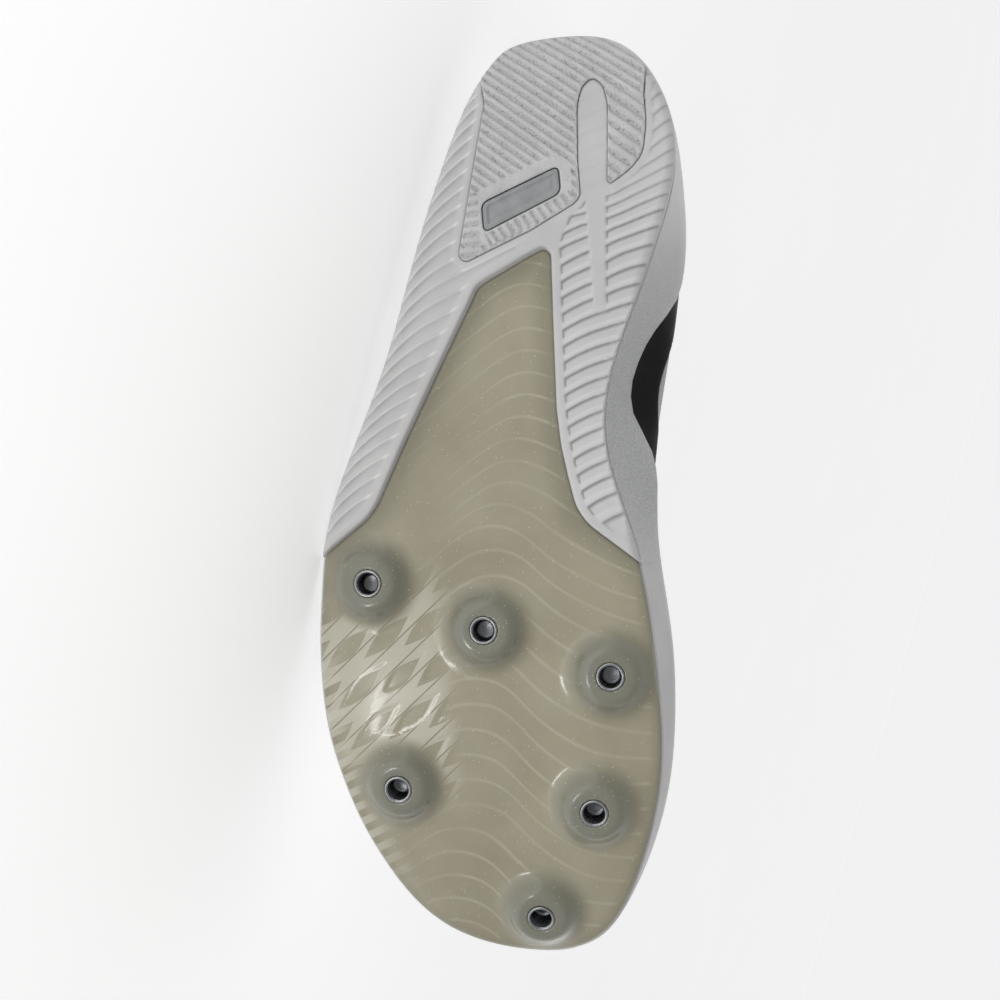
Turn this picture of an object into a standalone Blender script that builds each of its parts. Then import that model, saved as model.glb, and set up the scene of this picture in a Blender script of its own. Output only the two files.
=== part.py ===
"""A left track spike shoe, empty, lying on its lateral side as on a floor.

The shoe is worked out in its own frame, in millimetres: x from the back of the heel to the toe,
y towards the lateral (little toe) side, z up from the ground that the shoe would stand on.
place() then lays it down: the lateral edge of the sole and the lateral side of the upper meet the
floor, the sole faces -Y, the toe points to +X and the collar opens towards +Y.
"""

from math import acos, atan, cos, degrees, pi, radians, sin, sqrt

import bmesh
import bpy
import numpy as np
from mathutils import Matrix, Vector

for old in list(bpy.data.objects):
    bpy.data.objects.remove(old)

# ---------------------------------------------------------------- named sizes, mm
LENGTH = 280.0  # outsole, heel to toe
HEEL_X, TOE_X = 3.0, 277.0  # back and tip of the upper
HEEL_Y, TOE_Y = -20.4, -9.1  # where the sole's outline closes at the heel and at the toe
BALL_WIDTH = 103.4  # across the upper at the ball, x = 194
INSTEP = 90.8  # ridge of the upper above the ground at the top eyelets, x = 106
HEEL_HEIGHT = 87.5  # back of the collar above the ground
WALL = 2.0  # upper
COLLAR_WALL = 4.6  # padded edge of the collar
GAP = 0.3  # between curved pieces
FOAM_UNDER = 0.6  # the foam's underside at the heel, above the ground
PLATE = 2.0  # thickness of the spike plate
RUBBER = 2.6  # thickness of the heel rubber
INSOLE = 3.0
TONGUE = 3.4
LACE_WIDTH, LACE_THICK = 6.0, 1.3
THROAT_BACK, THROAT_TURN, THROAT_FRONT = 100.0, 190.0, 208.0
CAP_RADIUS = 25.0  # how sharply the instep curves across the throat
WAIST_BACK, WAIST_FRONT = 66.0, 138.0  # where the medial arch is drawn in
WAIST_DRAWN = 2.0
REST_YAW = 15.7  # turns the sole in its own plane, so that its lateral edge is level
REST_LEAN = 13.3  # tips the sole back past upright, until the upper's side meets the floor
PRESS = 0.55  # how far foam and cloth give where the shoe lies

# ---------------------------------------------------------------- tables, mm
# the sole's bottom outline: lateral and medial edge
SOLE_EDGE = """
x     lateral medial
0     -20.4   -20.4
3     -3.2    -33.0
10    3.9     -41.0
20    10.0    -47.0
30    14.4    -50.2
42    18.8    -50.7
54    22.8    -48.4
66    26.4    -44.6
80    30.3    -39.9
94    34.4    -34.8
108   39.5    -31.2
122   45.2    -30.9
136   50.7    -34.2
150   54.6    -38.9
165   56.6    -42.6
180   57.3    -45.0
195   56.8    -46.6
210   54.9    -47.5
224   51.1    -46.8
238   45.8    -44.3
251   39.0    -40.6
264   29.8    -35.2
272   20.8    -29.8
278   7.0     -20.8
280   -9.1    -9.1
"""
# heights: underside of the foam rails, underside of the spike plate, foot bed
LEVELS = """
x     rails  plate  bed
0     9.4    9.0    20.6
5     5.4    5.0    20.2
12    2.4    3.4    19.7
20    0.9    3.2    19.3
28    0.6    3.1    19.1
50    0.6    3.1    19.0
70    0.6    3.2    18.5
90    1.0    3.7    17.3
110   1.8    4.3    15.7
130   2.6    4.8    13.8
145   3.2    5.0    12.7
160   3.4    5.0    12.1
180   3.4    5.0    12.0
200   4.0    5.5    12.6
220   5.6    7.1    14.3
240   8.8    10.3   17.5
258   13.0   14.5   21.2
270   16.6   18.1   24.4
277   19.6   21.1   26.6
280   21.4   22.9   27.8
"""
# the upper: feather line, widest line and its height
UPPER_SIDE = """
x     lat_foot med_foot lat_wide med_wide wide_z
3     -19.5    -19.5    -19.5    -19.5    38
8     -6.0     -32.6    -3.6     -35.2    38
16    2.6      -39.4    5.8      -42.4    38
28    9.4      -45.0    12.2     -48.2    38
42    13.2     -47.6    15.6     -51.2    38
58    17.0     -47.6    19.4     -52.4    38
74    21.2     -44.2    23.6     -51.4    38
90    25.6     -38.0    28.4     -49.4    38
106   30.6     -33.6    33.8     -46.9    37.5
122   36.2     -32.4    39.6     -44.7    36
138   42.0     -34.4    45.2     -43.6    33.5
152   46.6     -37.6    49.6     -44.0    30.5
166   49.8     -40.8    52.6     -46.2    27.5
180   51.4     -43.4    54.2     -48.4    25.5
194   51.4     -45.6    54.2     -49.2    25
208   49.4     -45.8    52.2     -49.0    25.5
222   45.8     -44.6    48.4     -47.6    26.5
236   40.6     -41.6    43.0     -44.4    28
250   33.2     -36.8    35.6     -39.4    30
262   24.2     -30.6    26.4     -33.0    32
270   15.0     -24.6    16.8     -26.4    33
275   3.8      -17.4    4.8      -18.4    33
277   -9.0     -9.0     -9.0     -9.0     33
"""
# the instep's ridge, closed over the toes and carried on by the tongue
RIDGE = """
x     y      z
60    -8.0   122.0
74    -8.0   111.0
86    -8.1   103.0
96    -8.3   96.6
106   -8.7   90.8
122   -9.4   82.8
138   -9.8   75.8
152   -9.8   70.2
166   -9.4   65.0
180   -9.0   60.4
194   -8.6   56.7
208   -8.2   53.8
222   -8.0   51.3
236   -8.1   48.7
250   -8.4   46.3
262   -8.8   43.4
270   -9.0   40.4
275   -9.0   36.8
277   -9.0   33.0
"""
# the collar's edge, and the slope of the wall there in degrees below level
COLLAR = """
x     lateral medial lat_z  med_z  slope
3     -19.5   -19.5  87.5   87.5   92
8     -9.4    -30.2  87.0   87.0   91
16    -2.2    -36.4  84.2   84.2   89
28    4.0     -41.4  77.4   77.6   85
42    8.4     -44.4  70.4   71.2   81
58    11.6    -45.0  66.6   68.0   77
72    13.4    -42.0  68.2   69.6   70
82    12.0    -35.6  74.0   75.0   60
90    8.4     -28.4  82.4   82.8   46
96    4.9     -22.2  89.6   89.7   34
"""
# top of the foam's sidewall on each side
FOAM_RIM = """
x     lateral medial
0     34.0    34.0
30    33.0    34.0
60    30.0    34.0
75    27.6    31.6
89    25.6    25.8
104   24.6    22.2
117   25.2    25.4
130   26.0    29.2
142   25.4    29.6
158   22.8    25.6
176   21.0    21.6
195   20.6    20.6
215   21.6    21.6
240   24.8    24.8
262   29.6    29.6
280   33.6    33.6
"""
# the spike wells: centre of each boss on the plate
WELLS = """
x     y
164   40.0
177.4 5.0
190.2 -32.2
225.2 31.4
230.2 -27.3
264   -10.8
"""
# the region of the plate: its window between the rails, and the chamfered tips of the rails
WINDOW = """
x     y
75.5  7.4
66.6  -8.4
64.6  -12.6
66.6  -14.9
86    -15.5
112   -16.4
123   -17.7
132   -19.7
141   -22.0
146   -25.4
157   -40.2
"""
WINDOW_LATERAL = """
x     y
155.4 54.6
144.6 41.4
140.4 38.4
124   31.0
100   19.4
80    9.4
"""
# the heel rubber: a U of two arms, joined round the back of the heel
RUBBER_OUT = """
x     y
22.3  4.8
33.3  6.8
49.3  9.6
67.2  12.6
69.0  10.4
60.1  -9.0
52.6  -22.0
50.4  -23.6
"""
RUBBER_SLOT = """
x     y
40    -22.8
24    -22.6
18.5  -24.0
15.8  -27.0
18.5  -30.0
24    -31.4
46.4  -31.2
47.4  -32.2
43.4  -38.0
39.0  -41.6
30.2  -42.6
21.4  -41.9
"""
PLAQUE = """
x     y
41.4  -17.2
49.6  -18.0
60.6  5.0
51.6  5.8
"""


def rows(table):
    """A table as a dict of named columns."""
    lines = [line.split() for line in table.strip().splitlines()]
    return {name: np.array([float(r[i]) for r in lines[1:]]) for i, name in enumerate(lines[0])}


def smooth(places, values):
    """A natural cubic spline through a column."""
    t, v = np.asarray(places, float), np.asarray(values, float)
    n, h = len(t), np.diff(t)
    a, b = np.eye(n), np.zeros(n)
    for i in range(1, n - 1):
        a[i, i - 1 : i + 2] = h[i - 1], 2 * (h[i - 1] + h[i]), h[i]
        b[i] = 6 * ((v[i + 1] - v[i]) / h[i] - (v[i] - v[i - 1]) / h[i - 1])
    m = np.linalg.solve(a, b)

    def at(q):
        i = int(np.clip(np.searchsorted(t, q) - 1, 0, n - 2))
        u, w = q - t[i], t[i + 1] - q
        return (
            (m[i] * w**3 + m[i + 1] * u**3) / (6 * h[i])
            + (v[i] / h[i] - m[i] * h[i] / 6) * w
            + (v[i + 1] / h[i] - m[i + 1] * h[i] / 6) * u
        )

    return at


def rounded(low, high):
    """Turns a length into an angle, so that an outline closes round at both ends."""
    return lambda x: acos(min(1.0, max(-1.0, 1 - 2 * (x - low) / (high - low)))) / pi


def columns(table, low=None, high=None, **scale):
    """Each column of a table as a smooth function of x; a named column may be scaled."""
    data = rows(table)
    turn = rounded(low, high) if low is not None else (lambda x: x)
    places = [turn(x) for x in data["x"]]
    made = {}
    for name, values in data.items():
        if name != "x":
            values = [v * scale.get(name, 1.0) for v in values]
            made[name] = (lambda f: lambda x: float(f(turn(x))))(smooth(places, values))
    return made


# the tables hold the sizes of a shoe 103.4 wide at the ball, 90.8 high at the instep, 87.5 at the heel
wider, higher, taller = BALL_WIDTH / 103.4, INSTEP / 90.8, HEEL_HEIGHT / 87.5
edge = columns(SOLE_EDGE, 0, LENGTH, lateral=wider, medial=wider)
level = columns(LEVELS)
side_of = columns(
    UPPER_SIDE, HEEL_X, TOE_X, lat_foot=wider, med_foot=wider, lat_wide=wider, med_wide=wider
)
ridge = columns(RIDGE, z=higher)
rim = columns(FOAM_RIM)


def throat(x):
    """Half the width of the throat's opening, measured across from the ridge."""
    if x >= THROAT_FRONT:
        return 0.0
    wide = 13.0 - 2.2 * (x - THROAT_BACK) / (THROAT_TURN - THROAT_BACK)
    if x > THROAT_TURN:
        wide *= sqrt(max(0.0, 1 - ((x - THROAT_TURN) / (THROAT_FRONT - THROAT_TURN)) ** 2))
    return wide


def instep_edge(x, side):
    """Top edge of the upper beside the throat: y, z and slope."""
    w = throat(x)
    return ridge["y"](x) + side * w, ridge["z"](x) - w * w / (2 * CAP_RADIUS), atan(w / CAP_RADIUS)


def collar_columns():
    data = rows(COLLAR)
    turn = rounded(HEEL_X, TOE_X)
    places = [turn(x) for x in data["x"]]
    joins = [THROAT_BACK + 2, THROAT_BACK + 8, THROAT_BACK + 16]
    places += [turn(x) for x in joins]
    made = {}
    for name, side, kind in (
        ("lateral", 1, 0),
        ("medial", -1, 0),
        ("lat_z", 1, 1),
        ("med_z", -1, 1),
        ("slope", 1, 2),
    ):
        tail = [instep_edge(x, side)[kind] for x in joins]
        if kind == 2:
            tail = [degrees(v) for v in tail]
        grow = {"lat_z": taller, "med_z": taller}.get(name, 1.0)
        f = smooth(places, [v * grow for v in data[name]] + tail)
        made[name] = (lambda f: lambda x: float(f(turn(x))))(f)
    return made


collar = collar_columns()


def top_edge(x, side):
    """The upper's top edge at x on one side (+1 lateral, -1 medial): y, z, slope below level."""
    if x >= THROAT_BACK + 2:
        return instep_edge(x, side)
    if side > 0:
        return collar["lateral"](x), collar["lat_z"](x), radians(collar["slope"](x))
    return collar["medial"](x), collar["med_z"](x), radians(collar["slope"](x))


def bezier(p, n):
    t = np.linspace(0, 1, n)[:, None]
    p = np.asarray(p, float)
    return (1 - t) ** 3 * p[0] + 3 * (1 - t) ** 2 * t * p[1] + 3 * (1 - t) * t * t * p[2] + t**3 * p[3]


def waist(x, side):
    """How far the medial arch is drawn in above the feather line, 0 to 1."""
    if side > 0:
        return 0.0
    a = min(1.0, max(0.0, (x - WAIST_BACK) / 24.0))
    b = min(1.0, max(0.0, (WAIST_FRONT - x) / 30.0))
    return a * a * (3 - 2 * a) * b * b * (3 - 2 * b)


def half_section(x, side, low=3, high=7):
    """The upper's outer surface across the shoe at x, from the feather line up to its top edge: (y, z) rows."""
    key = "lat" if side > 0 else "med"
    foot = np.array([side_of[key + "_foot"](x), min(level["bed"](x), side_of["wide_z"](x))])
    wide = np.array([side_of[key + "_wide"](x), side_of["wide_z"](x)])
    ty, tz, slope = top_edge(x, side)
    top = np.array([ty, tz])
    rise = wide[1] - foot[1]
    out = wide[0] - foot[0]
    w = waist(x, side)
    lower = bezier(
        [foot, foot + (out * 0.62 * (1 - w), rise * (0.22 + 0.2 * w)), wide - (0, rise * (0.46 - 0.24 * w)), wide], low + 1
    )
    across, up = abs(wide[0] - ty), tz - wide[1]
    reach = sqrt((across * cos(slope)) ** 2 + (up * sin(slope)) ** 2) * 0.5
    lean = side * cos(slope) * min(reach, across * 1.5)
    upper = bezier(
        [wide, wide + (0, up * 0.5), top + (lean, -sin(slope) * reach), top], high + 1
    )
    return np.vstack([lower, upper[1:]])


def heel_curve(x, z):
    """Draws the back of the heel in below and above its fullest point."""
    near = max(0.0, 1 - (x - HEEL_X) / 70.0) ** 2
    below = max(0.0, (38.0 - z) / 20.0)
    above = max(0.0, (z - 38.0) / 50.0)
    return near * (2.2 * below**2 + 4.2 * above**2)


def stations(table):
    """Places along x from a table of stretches: even, or drawn together towards one end."""
    made = []
    for start, end, count, ease in table:
        for i in range(count):
            t = i / count
            if ease == "start":
                t = 1 - cos(t * pi / 2)
            elif ease == "end":
                t = sin(t * pi / 2)
            made.append(start + (end - start) * t)
    made.append(table[-1][1])
    return made


UPPER_ROWS = stations(
    (
        (HEEL_X, 52.0, 8, "start"),
        (52.0, THROAT_BACK, 6, "even"),
        (THROAT_BACK, THROAT_TURN, 7, "even"),
        (THROAT_TURN, THROAT_FRONT, 4, "end"),
        (THROAT_FRONT, 236.0, 2, "even"),
        (236.0, TOE_X, 7, "end"),
    )
)

# ---------------------------------------------------------------- laying the shoe down
YAW = Matrix.Rotation(radians(-REST_YAW), 4, "Z")
LAY = Matrix(((1, 0, 0, 0), (0, 0, 1, 0), (0, -1, 0, 0), (0, 0, 0, 1)))
LEAN = Matrix.Rotation(radians(-REST_LEAN), 4, "X")
TURN = LEAN @ LAY @ YAW


def place(p):
    return TURN @ Vector(p)


# ---------------------------------------------------------------- mesh helpers
def new_object(name, mesh, colour, roughness, metallic=0.0):
    ob = bpy.data.objects.new(name, mesh)
    bpy.context.scene.collection.objects.link(ob)
    mat = bpy.data.materials.new(name)
    mat.use_nodes = True
    shader = mat.node_tree.nodes["Principled BSDF"]
    shader.inputs["Base Color"].default_value = (*colour, 1)
    shader.inputs["Roughness"].default_value = roughness
    shader.inputs["Metallic"].default_value = metallic
    mesh.materials.clear()
    mesh.materials.append(mat)
    return ob


def bm_object(name, bm, colour=(0.8, 0.8, 0.8), roughness=0.5, metallic=0.0):
    bmesh.ops.recalc_face_normals(bm, faces=bm.faces[:])
    mesh = bpy.data.meshes.new(name)
    bm.to_mesh(mesh)
    bm.free()
    return new_object(name, mesh, colour, roughness, metallic)


def boolean(ob, tool, operation):
    """Joins or cuts, and keeps the result as the object's own mesh."""
    m = ob.modifiers.new("cut", "BOOLEAN")
    m.operation, m.solver, m.object = operation, "EXACT", tool
    bpy.context.view_layer.update()
    done = bpy.data.meshes.new_from_object(
        ob.evaluated_get(bpy.context.evaluated_depsgraph_get())
    )
    ob.modifiers.clear()
    mats = list(ob.data.materials)
    ob.data = done
    done.materials.clear()
    for mat in mats:
        done.materials.append(mat)
    bpy.data.objects.remove(tool)
    return ob


def tidy(ob, near=0.02):
    """Melts away slivers that a cut leaves."""
    bm = bmesh.new()
    bm.from_mesh(ob.data)
    bmesh.ops.remove_doubles(bm, verts=bm.verts[:], dist=near)
    bmesh.ops.dissolve_degenerate(bm, edges=bm.edges[:], dist=near)
    bmesh.ops.recalc_face_normals(bm, faces=bm.faces[:])
    bm.to_mesh(ob.data)
    bm.free()


def loft(name, rings, close_ends=True):
    """A closed tube through rings of points, with coinciding points merged."""
    bm = bmesh.new()
    made = [[bm.verts.new(p) for p in ring] for ring in rings]
    n = len(made[0])
    for a, b in zip(made, made[1:]):
        for i in range(n):
            bm.faces.new((a[i], a[(i + 1) % n], b[(i + 1) % n], b[i]))
    if close_ends:
        for ring in (made[0], made[-1]):
            bm.faces.new(ring)
    bmesh.ops.remove_doubles(bm, verts=bm.verts[:], dist=0.004)
    bmesh.ops.dissolve_degenerate(bm, edges=bm.edges[:], dist=0.004)
    return bm_object(name, bm)


def slab(name, outline, under, over, lines):
    """A plate cut to an outline in plan, whose two faces follow the heights under(x, y) and over(x, y).

    Its faces bend at the lines given for x and for y, so a hollow cut with the same lines fits it."""
    bm = bmesh.new()
    bm.faces.new([bm.verts.new((x, y, 0)) for x, y in outline])
    for axis in (0, 1):
        low = min(p[axis] for p in outline)
        high = max(p[axis] for p in outline)
        for place in lines[axis]:
            if not low + 0.2 < place < high - 0.2:
                continue
            normal = Vector((0, 0, 0))
            normal[axis] = 1
            spot = Vector((0, 0, 0))
            spot[axis] = place
            bmesh.ops.bisect_plane(
                bm,
                geom=bm.verts[:] + bm.edges[:] + bm.faces[:],
                dist=0.001,
                plane_co=spot,
                plane_no=normal,
            )
    bmesh.ops.triangulate(bm, faces=bm.faces[:])
    lower = {v: v for v in bm.verts}
    upper = {v: bm.verts.new(v.co) for v in list(bm.verts)}
    rim_edges = [e for e in bm.edges if e.is_boundary]
    for f in list(bm.faces):
        bm.faces.new([upper[v] for v in f.verts])
    for e in rim_edges:
        a, b = e.verts
        bm.faces.new((a, b, upper[b], upper[a]))
    for v in lower:
        x, y = v.co.x, v.co.y
        upper[v].co.z = over(x, y)
        v.co.z = under(x, y)
    return bm_object(name, bm)


def bent(points, radius, steps=3, closed=True):
    """An outline with its corners rounded, radius worked out corner by corner."""
    made, n = [], len(points)
    for i in range(n):
        if not closed and i in (0, n - 1):
            made.append(tuple(points[i]))
            continue
        a, b, c = (Vector(points[(i + k - 1) % n]) for k in range(3))
        u, v = (a - b), (c - b)
        r = min(radius, u.length * 0.45, v.length * 0.45)
        if r < 0.3 or (u.normalized() + v.normalized()).length < 0.12:
            made.append(tuple(b))
            continue
        p, q = b + u.normalized() * r, b + v.normalized() * r
        for k in range(steps + 1):
            t = k / steps
            made.append(tuple(p * (1 - t) ** 2 + b * 2 * t * (1 - t) + q * t * t))
    return made


def plan(table):
    data = rows(table)
    return list(zip(data["x"], data["y"]))


# ---------------------------------------------------------------- the upper
def upper_ring(x, low=3, high=7):
    """Medial feather line, over the top, to the lateral feather line."""
    medial, lateral = half_section(x, -1, low, high), half_section(x, 1, low, high)
    return [(x + heel_curve(x, z), y, z) for y, z in medial], [
        (x + heel_curve(x, z), y, z) for y, z in lateral
    ]


def upper_surface(low=3, high=7):
    """The upper's outer surface, open at the throat, the collar and underneath."""
    bm = bmesh.new()
    grid = []
    for x in UPPER_ROWS:
        medial, lateral = upper_ring(x, low, high)
        grid.append(([bm.verts.new(p) for p in medial], [bm.verts.new(p) for p in lateral]))
    for (m0, l0), (m1, l1) in zip(grid, grid[1:]):
        for i in range(len(m0) - 1):
            bm.faces.new((m0[i], m0[i + 1], m1[i + 1], m1[i]))
            bm.faces.new((l0[i + 1], l0[i], l1[i], l1[i + 1]))
    bmesh.ops.remove_doubles(bm, verts=bm.verts[:], dist=0.02)
    bmesh.ops.dissolve_degenerate(bm, edges=bm.edges[:], dist=0.02)
    bmesh.ops.recalc_face_normals(bm, faces=bm.faces[:])
    bm.normal_update()
    # the surface faces outwards, whichever way it was found
    probe = max(bm.verts, key=lambda v: v.co.y)
    if probe.normal.y < 0:
        bmesh.ops.reverse_faces(bm, faces=bm.faces[:])
        bm.normal_update()
    return bm


def wall_at(p):
    """Thickness of the upper's wall: thicker where the collar is padded."""
    x, z = p.x, p.z
    if x > 94:
        return WALL
    line = min(collar["lat_z"](max(x, HEEL_X)), 89.0)
    t = min(1.0, max(0.0, (z - (line - 24)) / 16))
    fade = min(1.0, max(0.0, (94 - x) / 20))
    return WALL + (COLLAR_WALL - WALL) * t * t * (3 - 2 * t) * fade


def make_upper():
    bm = upper_surface()
    outer = list(bm.verts)
    inner = {v: bm.verts.new(v.co - v.normal * wall_at(v.co)) for v in outer}
    border = [e for e in bm.edges if e.is_boundary]
    for f in list(bm.faces):
        bm.faces.new([inner[v] for v in reversed(f.verts)])
    for e in border:
        a, b = e.verts
        bm.faces.new((a, b, inner[b], inner[a]))
    return bm_object("upper", bm, (0.80, 0.80, 0.81), 0.85)


def make_last(grow):
    """A filled form of the upper's outside, grown a little: it hollows the foam."""
    bm = bmesh.new()
    rings = []
    for x in UPPER_ROWS:
        medial, lateral = upper_ring(x)
        rings.append([bm.verts.new(p) for p in medial + lateral[::-1]])
    n = len(rings[0])
    for a, b in zip(rings, rings[1:]):
        for i in range(n):
            bm.faces.new((a[i], a[(i + 1) % n], b[(i + 1) % n], b[i]))
    bmesh.ops.remove_doubles(bm, verts=bm.verts[:], dist=0.02)
    bmesh.ops.dissolve_degenerate(bm, edges=bm.edges[:], dist=0.02)
    bmesh.ops.recalc_face_normals(bm, faces=bm.faces[:])
    # each wall point moves out as the upper's surface faces there
    shell = upper_surface()
    facing = {tuple(round(c, 3) for c in v.co): v.normal.copy() for v in shell.verts}
    shell.free()
    for v in bm.verts:
        n = facing.get(tuple(round(c, 3) for c in v.co))
        v.co += (n if n is not None else v.normal) * grow
    for v in bm.verts:
        bottom = level["bed"](min(v.co.x, TOE_X))
        if v.co.z < bottom + 0.25:
            v.co.z = min(v.co.z, bottom - grow)
    return bm_object("last", bm)


# ---------------------------------------------------------------- the foam midsole
def side_at(x, side, z):
    """y of the upper's outside at height z."""
    wall = half_section(x, side, 6, 8)
    return float(np.interp(z, wall[:12, 1], wall[:12, 0]))


def foam_ring(s):
    """One section of the foam before it is hollowed, at s from 0 (heel) to 1 (toe)."""
    x = LENGTH / 2 * (1 - cos(pi * s))
    xu = HEEL_X + (TOE_X - HEEL_X) / 2 * (1 - cos(pi * s))
    under = level["rails"](x)
    ring = []
    for side in (-1, 1):
        e = edge["lateral" if side > 0 else "medial"](x)
        middle = HEEL_Y + (TOE_Y - HEEL_Y) * s
        half = abs(e - middle)
        z_rim = rim["lateral" if side > 0 else "medial"](x)
        lip = side_at(xu, side, z_rim) + side * 2.0 * min(1.0, half / 18)
        pull = min(1.0, half / 12)
        # the sidewall, as shares of the way from the bottom edge to the lip
        wall = ((0.0, 0.0, 0.0), (0.34, 0.24, 0.6), (0.62, 0.55, 0.7), (0.86, 0.86, 0.4), (1.0, 1.0, 0.0))
        pts = [
            (e - side * 7.0 * pull, under),
            (e - side * 1.6 * pull, under + 0.5),
        ]
        for up, over, puff in wall:
            base = under + 3.0
            pts.append(
                (
                    e + (lip - e) * over + side * puff * pull,
                    base + (z_rim - 1.0 - base) * up,
                )
            )
        pts.append((lip - side * 1.0 * pull, z_rim))
        pts.append((lip - side * 9.0 * pull, z_rim))
        ring.append([(x, y, z) for y, z in pts])
    return ring[0] + ring[1][::-1]


def make_foam():
    count = 34
    ob = loft("midsole", [foam_ring(i / count) for i in range(count + 1)])
    tidy(ob, 0.01)
    return ob


# ---------------------------------------------------------------- the spike plate
def sole_outline(start, end, inset, count):
    """The sole's edge in plan from x = start on the lateral side, round the toe, to x = end on the medial side."""
    turn = rounded(0, LENGTH)
    lateral, medial = turn(start), turn(end)
    made = []
    for side, a, b in ((1, lateral, 1.0), (-1, 1.0, medial)):
        for i in range(count + (side < 0)):
            s = a + (b - a) * i / count
            x = LENGTH / 2 * (1 - cos(pi * s))
            y = edge["lateral" if side > 0 else "medial"](x)
            made.append(Vector((x, y)))
    moved = []
    for i, p in enumerate(made):
        a, b = made[max(0, i - 1)], made[min(len(made) - 1, i + 1)]
        along = (b - a).normalized()
        moved.append(tuple(p + Vector((-along.y, along.x)) * -inset))
    return moved


def camber(x, y):
    """How far the plate's edges curl up from its middle line."""
    if x < 150:
        return 0.0
    lat, med = edge["lateral"](min(x, LENGTH)), edge["medial"](min(x, LENGTH))
    middle, half = (lat + med) / 2, max(14.0, (lat - med) / 2)
    t = min(1.5, abs(y - middle) / half)
    fade = min(1.0, (x - 150) / 18)
    return 1.8 * fade * min(1.0, half / 48) * max(0.0, (t - 0.6) / 0.4) ** 2


def beyond(column, x):
    """A height column, carried on straight past both ends of the sole."""
    inside = min(max(x, 0.0), LENGTH)
    step = -0.5 if x > inside else 0.5
    slope = (column(inside + step) - column(inside)) / step
    return column(inside) + slope * (x - inside)


def plate_under(x, y):
    return beyond(level["plate"], x) + camber(x, y)


def plate_outline(inset, spread):
    """The plate's region in plan. spread carries the forefoot's edge outwards, for the cutter."""
    ahead = sole_outline(157, 158.5, 0.6 - spread, 18)
    window = bent(plan(WINDOW_LATERAL) + plan(WINDOW), 3.0, 2, closed=False)
    window[0] = (window[0][0], window[0][1] + spread)
    window[-1] = (window[-1][0], window[-1][1] - spread)
    around = ahead + window[::-1]
    if inset:
        around = shrink(around, inset)
    return around


def shrink(points, by):
    """Moves an outline in by a distance, along the corner's bisector."""
    area = sum(
        a[0] * b[1] - b[0] * a[1] for a, b in zip(points, points[1:] + points[:1])
    )
    sign = 1 if area > 0 else -1
    made, n = [], len(points)
    for i in range(n):
        a, b, c = (Vector(points[(i + k - 1) % n]) for k in range(3))
        u, v = (b - a).normalized(), (c - b).normalized()
        nu, nv = Vector((-u.y, u.x)) * sign, Vector((-v.y, v.x)) * sign
        mid = nu + nv
        mid = mid / max(0.35, mid.length_squared / 2)
        made.append(tuple(b + mid * by))
    return made


def well_frame(x, y):
    """The plate's slope at a spike well, as the matrix of a boss whose +Z points down out of the sole."""
    spot = Vector((x, y, plate_under(x, y)))
    rise = (level["plate"](x + 4) - level["plate"](x - 4)) / 8
    out = Vector((rise, 0, -1)).normalized()
    along = Vector((1, 0, rise)).normalized()
    across = out.cross(along)
    m = Matrix((along, across, out)).transposed().to_4x4()
    m.translation = spot
    return m


def turned(name, profile, matrix, segments):
    """A solid turned about the local Z axis, from (radius, height) rows: closed where the radius is 0."""
    bm = bmesh.new()
    rings = []
    for r, h in profile:
        if r < 1e-6:
            rings.append([bm.verts.new(matrix @ Vector((0, 0, h)))])
        else:
            rings.append(
                [
                    bm.verts.new(
                        matrix
                        @ Vector((r * cos(2 * pi * i / segments), r * sin(2 * pi * i / segments), h))
                    )
                    for i in range(segments)
                ]
            )
    loop = list(zip(rings, rings[1:]))
    if len(rings[0]) > 1 and len(rings[-1]) > 1:
        loop.append((rings[-1], rings[0]))
    for a, b in loop:
        for i in range(segments):
            j = (i + 1) % segments
            if len(a) == 1:
                bm.faces.new((a[0], b[j], b[i]))
            elif len(b) == 1:
                bm.faces.new((a[i], a[j], b[0]))
            else:
                bm.faces.new((a[i], a[j], b[j], b[i]))
    return bm_object(name, bm)


BOSS = ((0.0, -1.2), (12.8, -1.2), (12.8, 0.3), (10.6, 1.5), (8.2, 3.6), (6.3, 4.75), (0.0, 4.75))
WELL_CUT = 4.4  # radius of the hole that holds an insert
INSERT = ((0.0, -0.4), (2.8, -0.4), (2.8, 4.4), (3.35, 5.0), (4.1, 5.0), (4.1, -1.7), (0.0, -1.7))


def make_plate():
    ob = slab(
        "spike_plate",
        plate_outline(GAP, 0),
        plate_under,
        lambda x, y: plate_under(x, y) + PLATE,
        PLATE_LINES,
    )
    for i, (x, y) in enumerate(plan(WELLS)):
        boolean(ob, turned("boss", BOSS, well_frame(x, y), 16), "UNION")
    for x, y in plan(WELLS):
        hole = ((0.0, -6.0), (WELL_CUT, -6.0), (WELL_CUT, 9.0), (0.0, 9.0))
        boolean(ob, turned("hole", hole, well_frame(x, y), 16), "DIFFERENCE")
    tidy(ob, 0.01)
    return ob


# ---------------------------------------------------------------- heel rubber and its plaque
def heel_under(x, y):
    """The rubber's tread face: flat on the ground, and rising round the back of the heel."""
    if x > 24:
        return 0.0
    return max(0.0, beyond(level["rails"], x) - FOAM_UNDER - 0.1)


FLAT = ((), ())
HEEL_LINES = ((3.0, 6.5, 10.5, 15.5, 22.0), ())
PLATE_LINES = (
    (84.0, 108.0, 130.0, 148.0, 162.0, 180.0, 196.0, 210.0, 222.0, 233.0, 243.0, 252.0, 260.0, 267.0, 273.0, 277.0),
    (-40.0, -31.0, 31.0, 40.0, 49.0),
)
BED_LINES = ((24.0, 60.0, 90.0, 120.0, 150.0, 180.0, 205.0, 225.0, 242.0, 255.0, 265.0), ())


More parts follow.
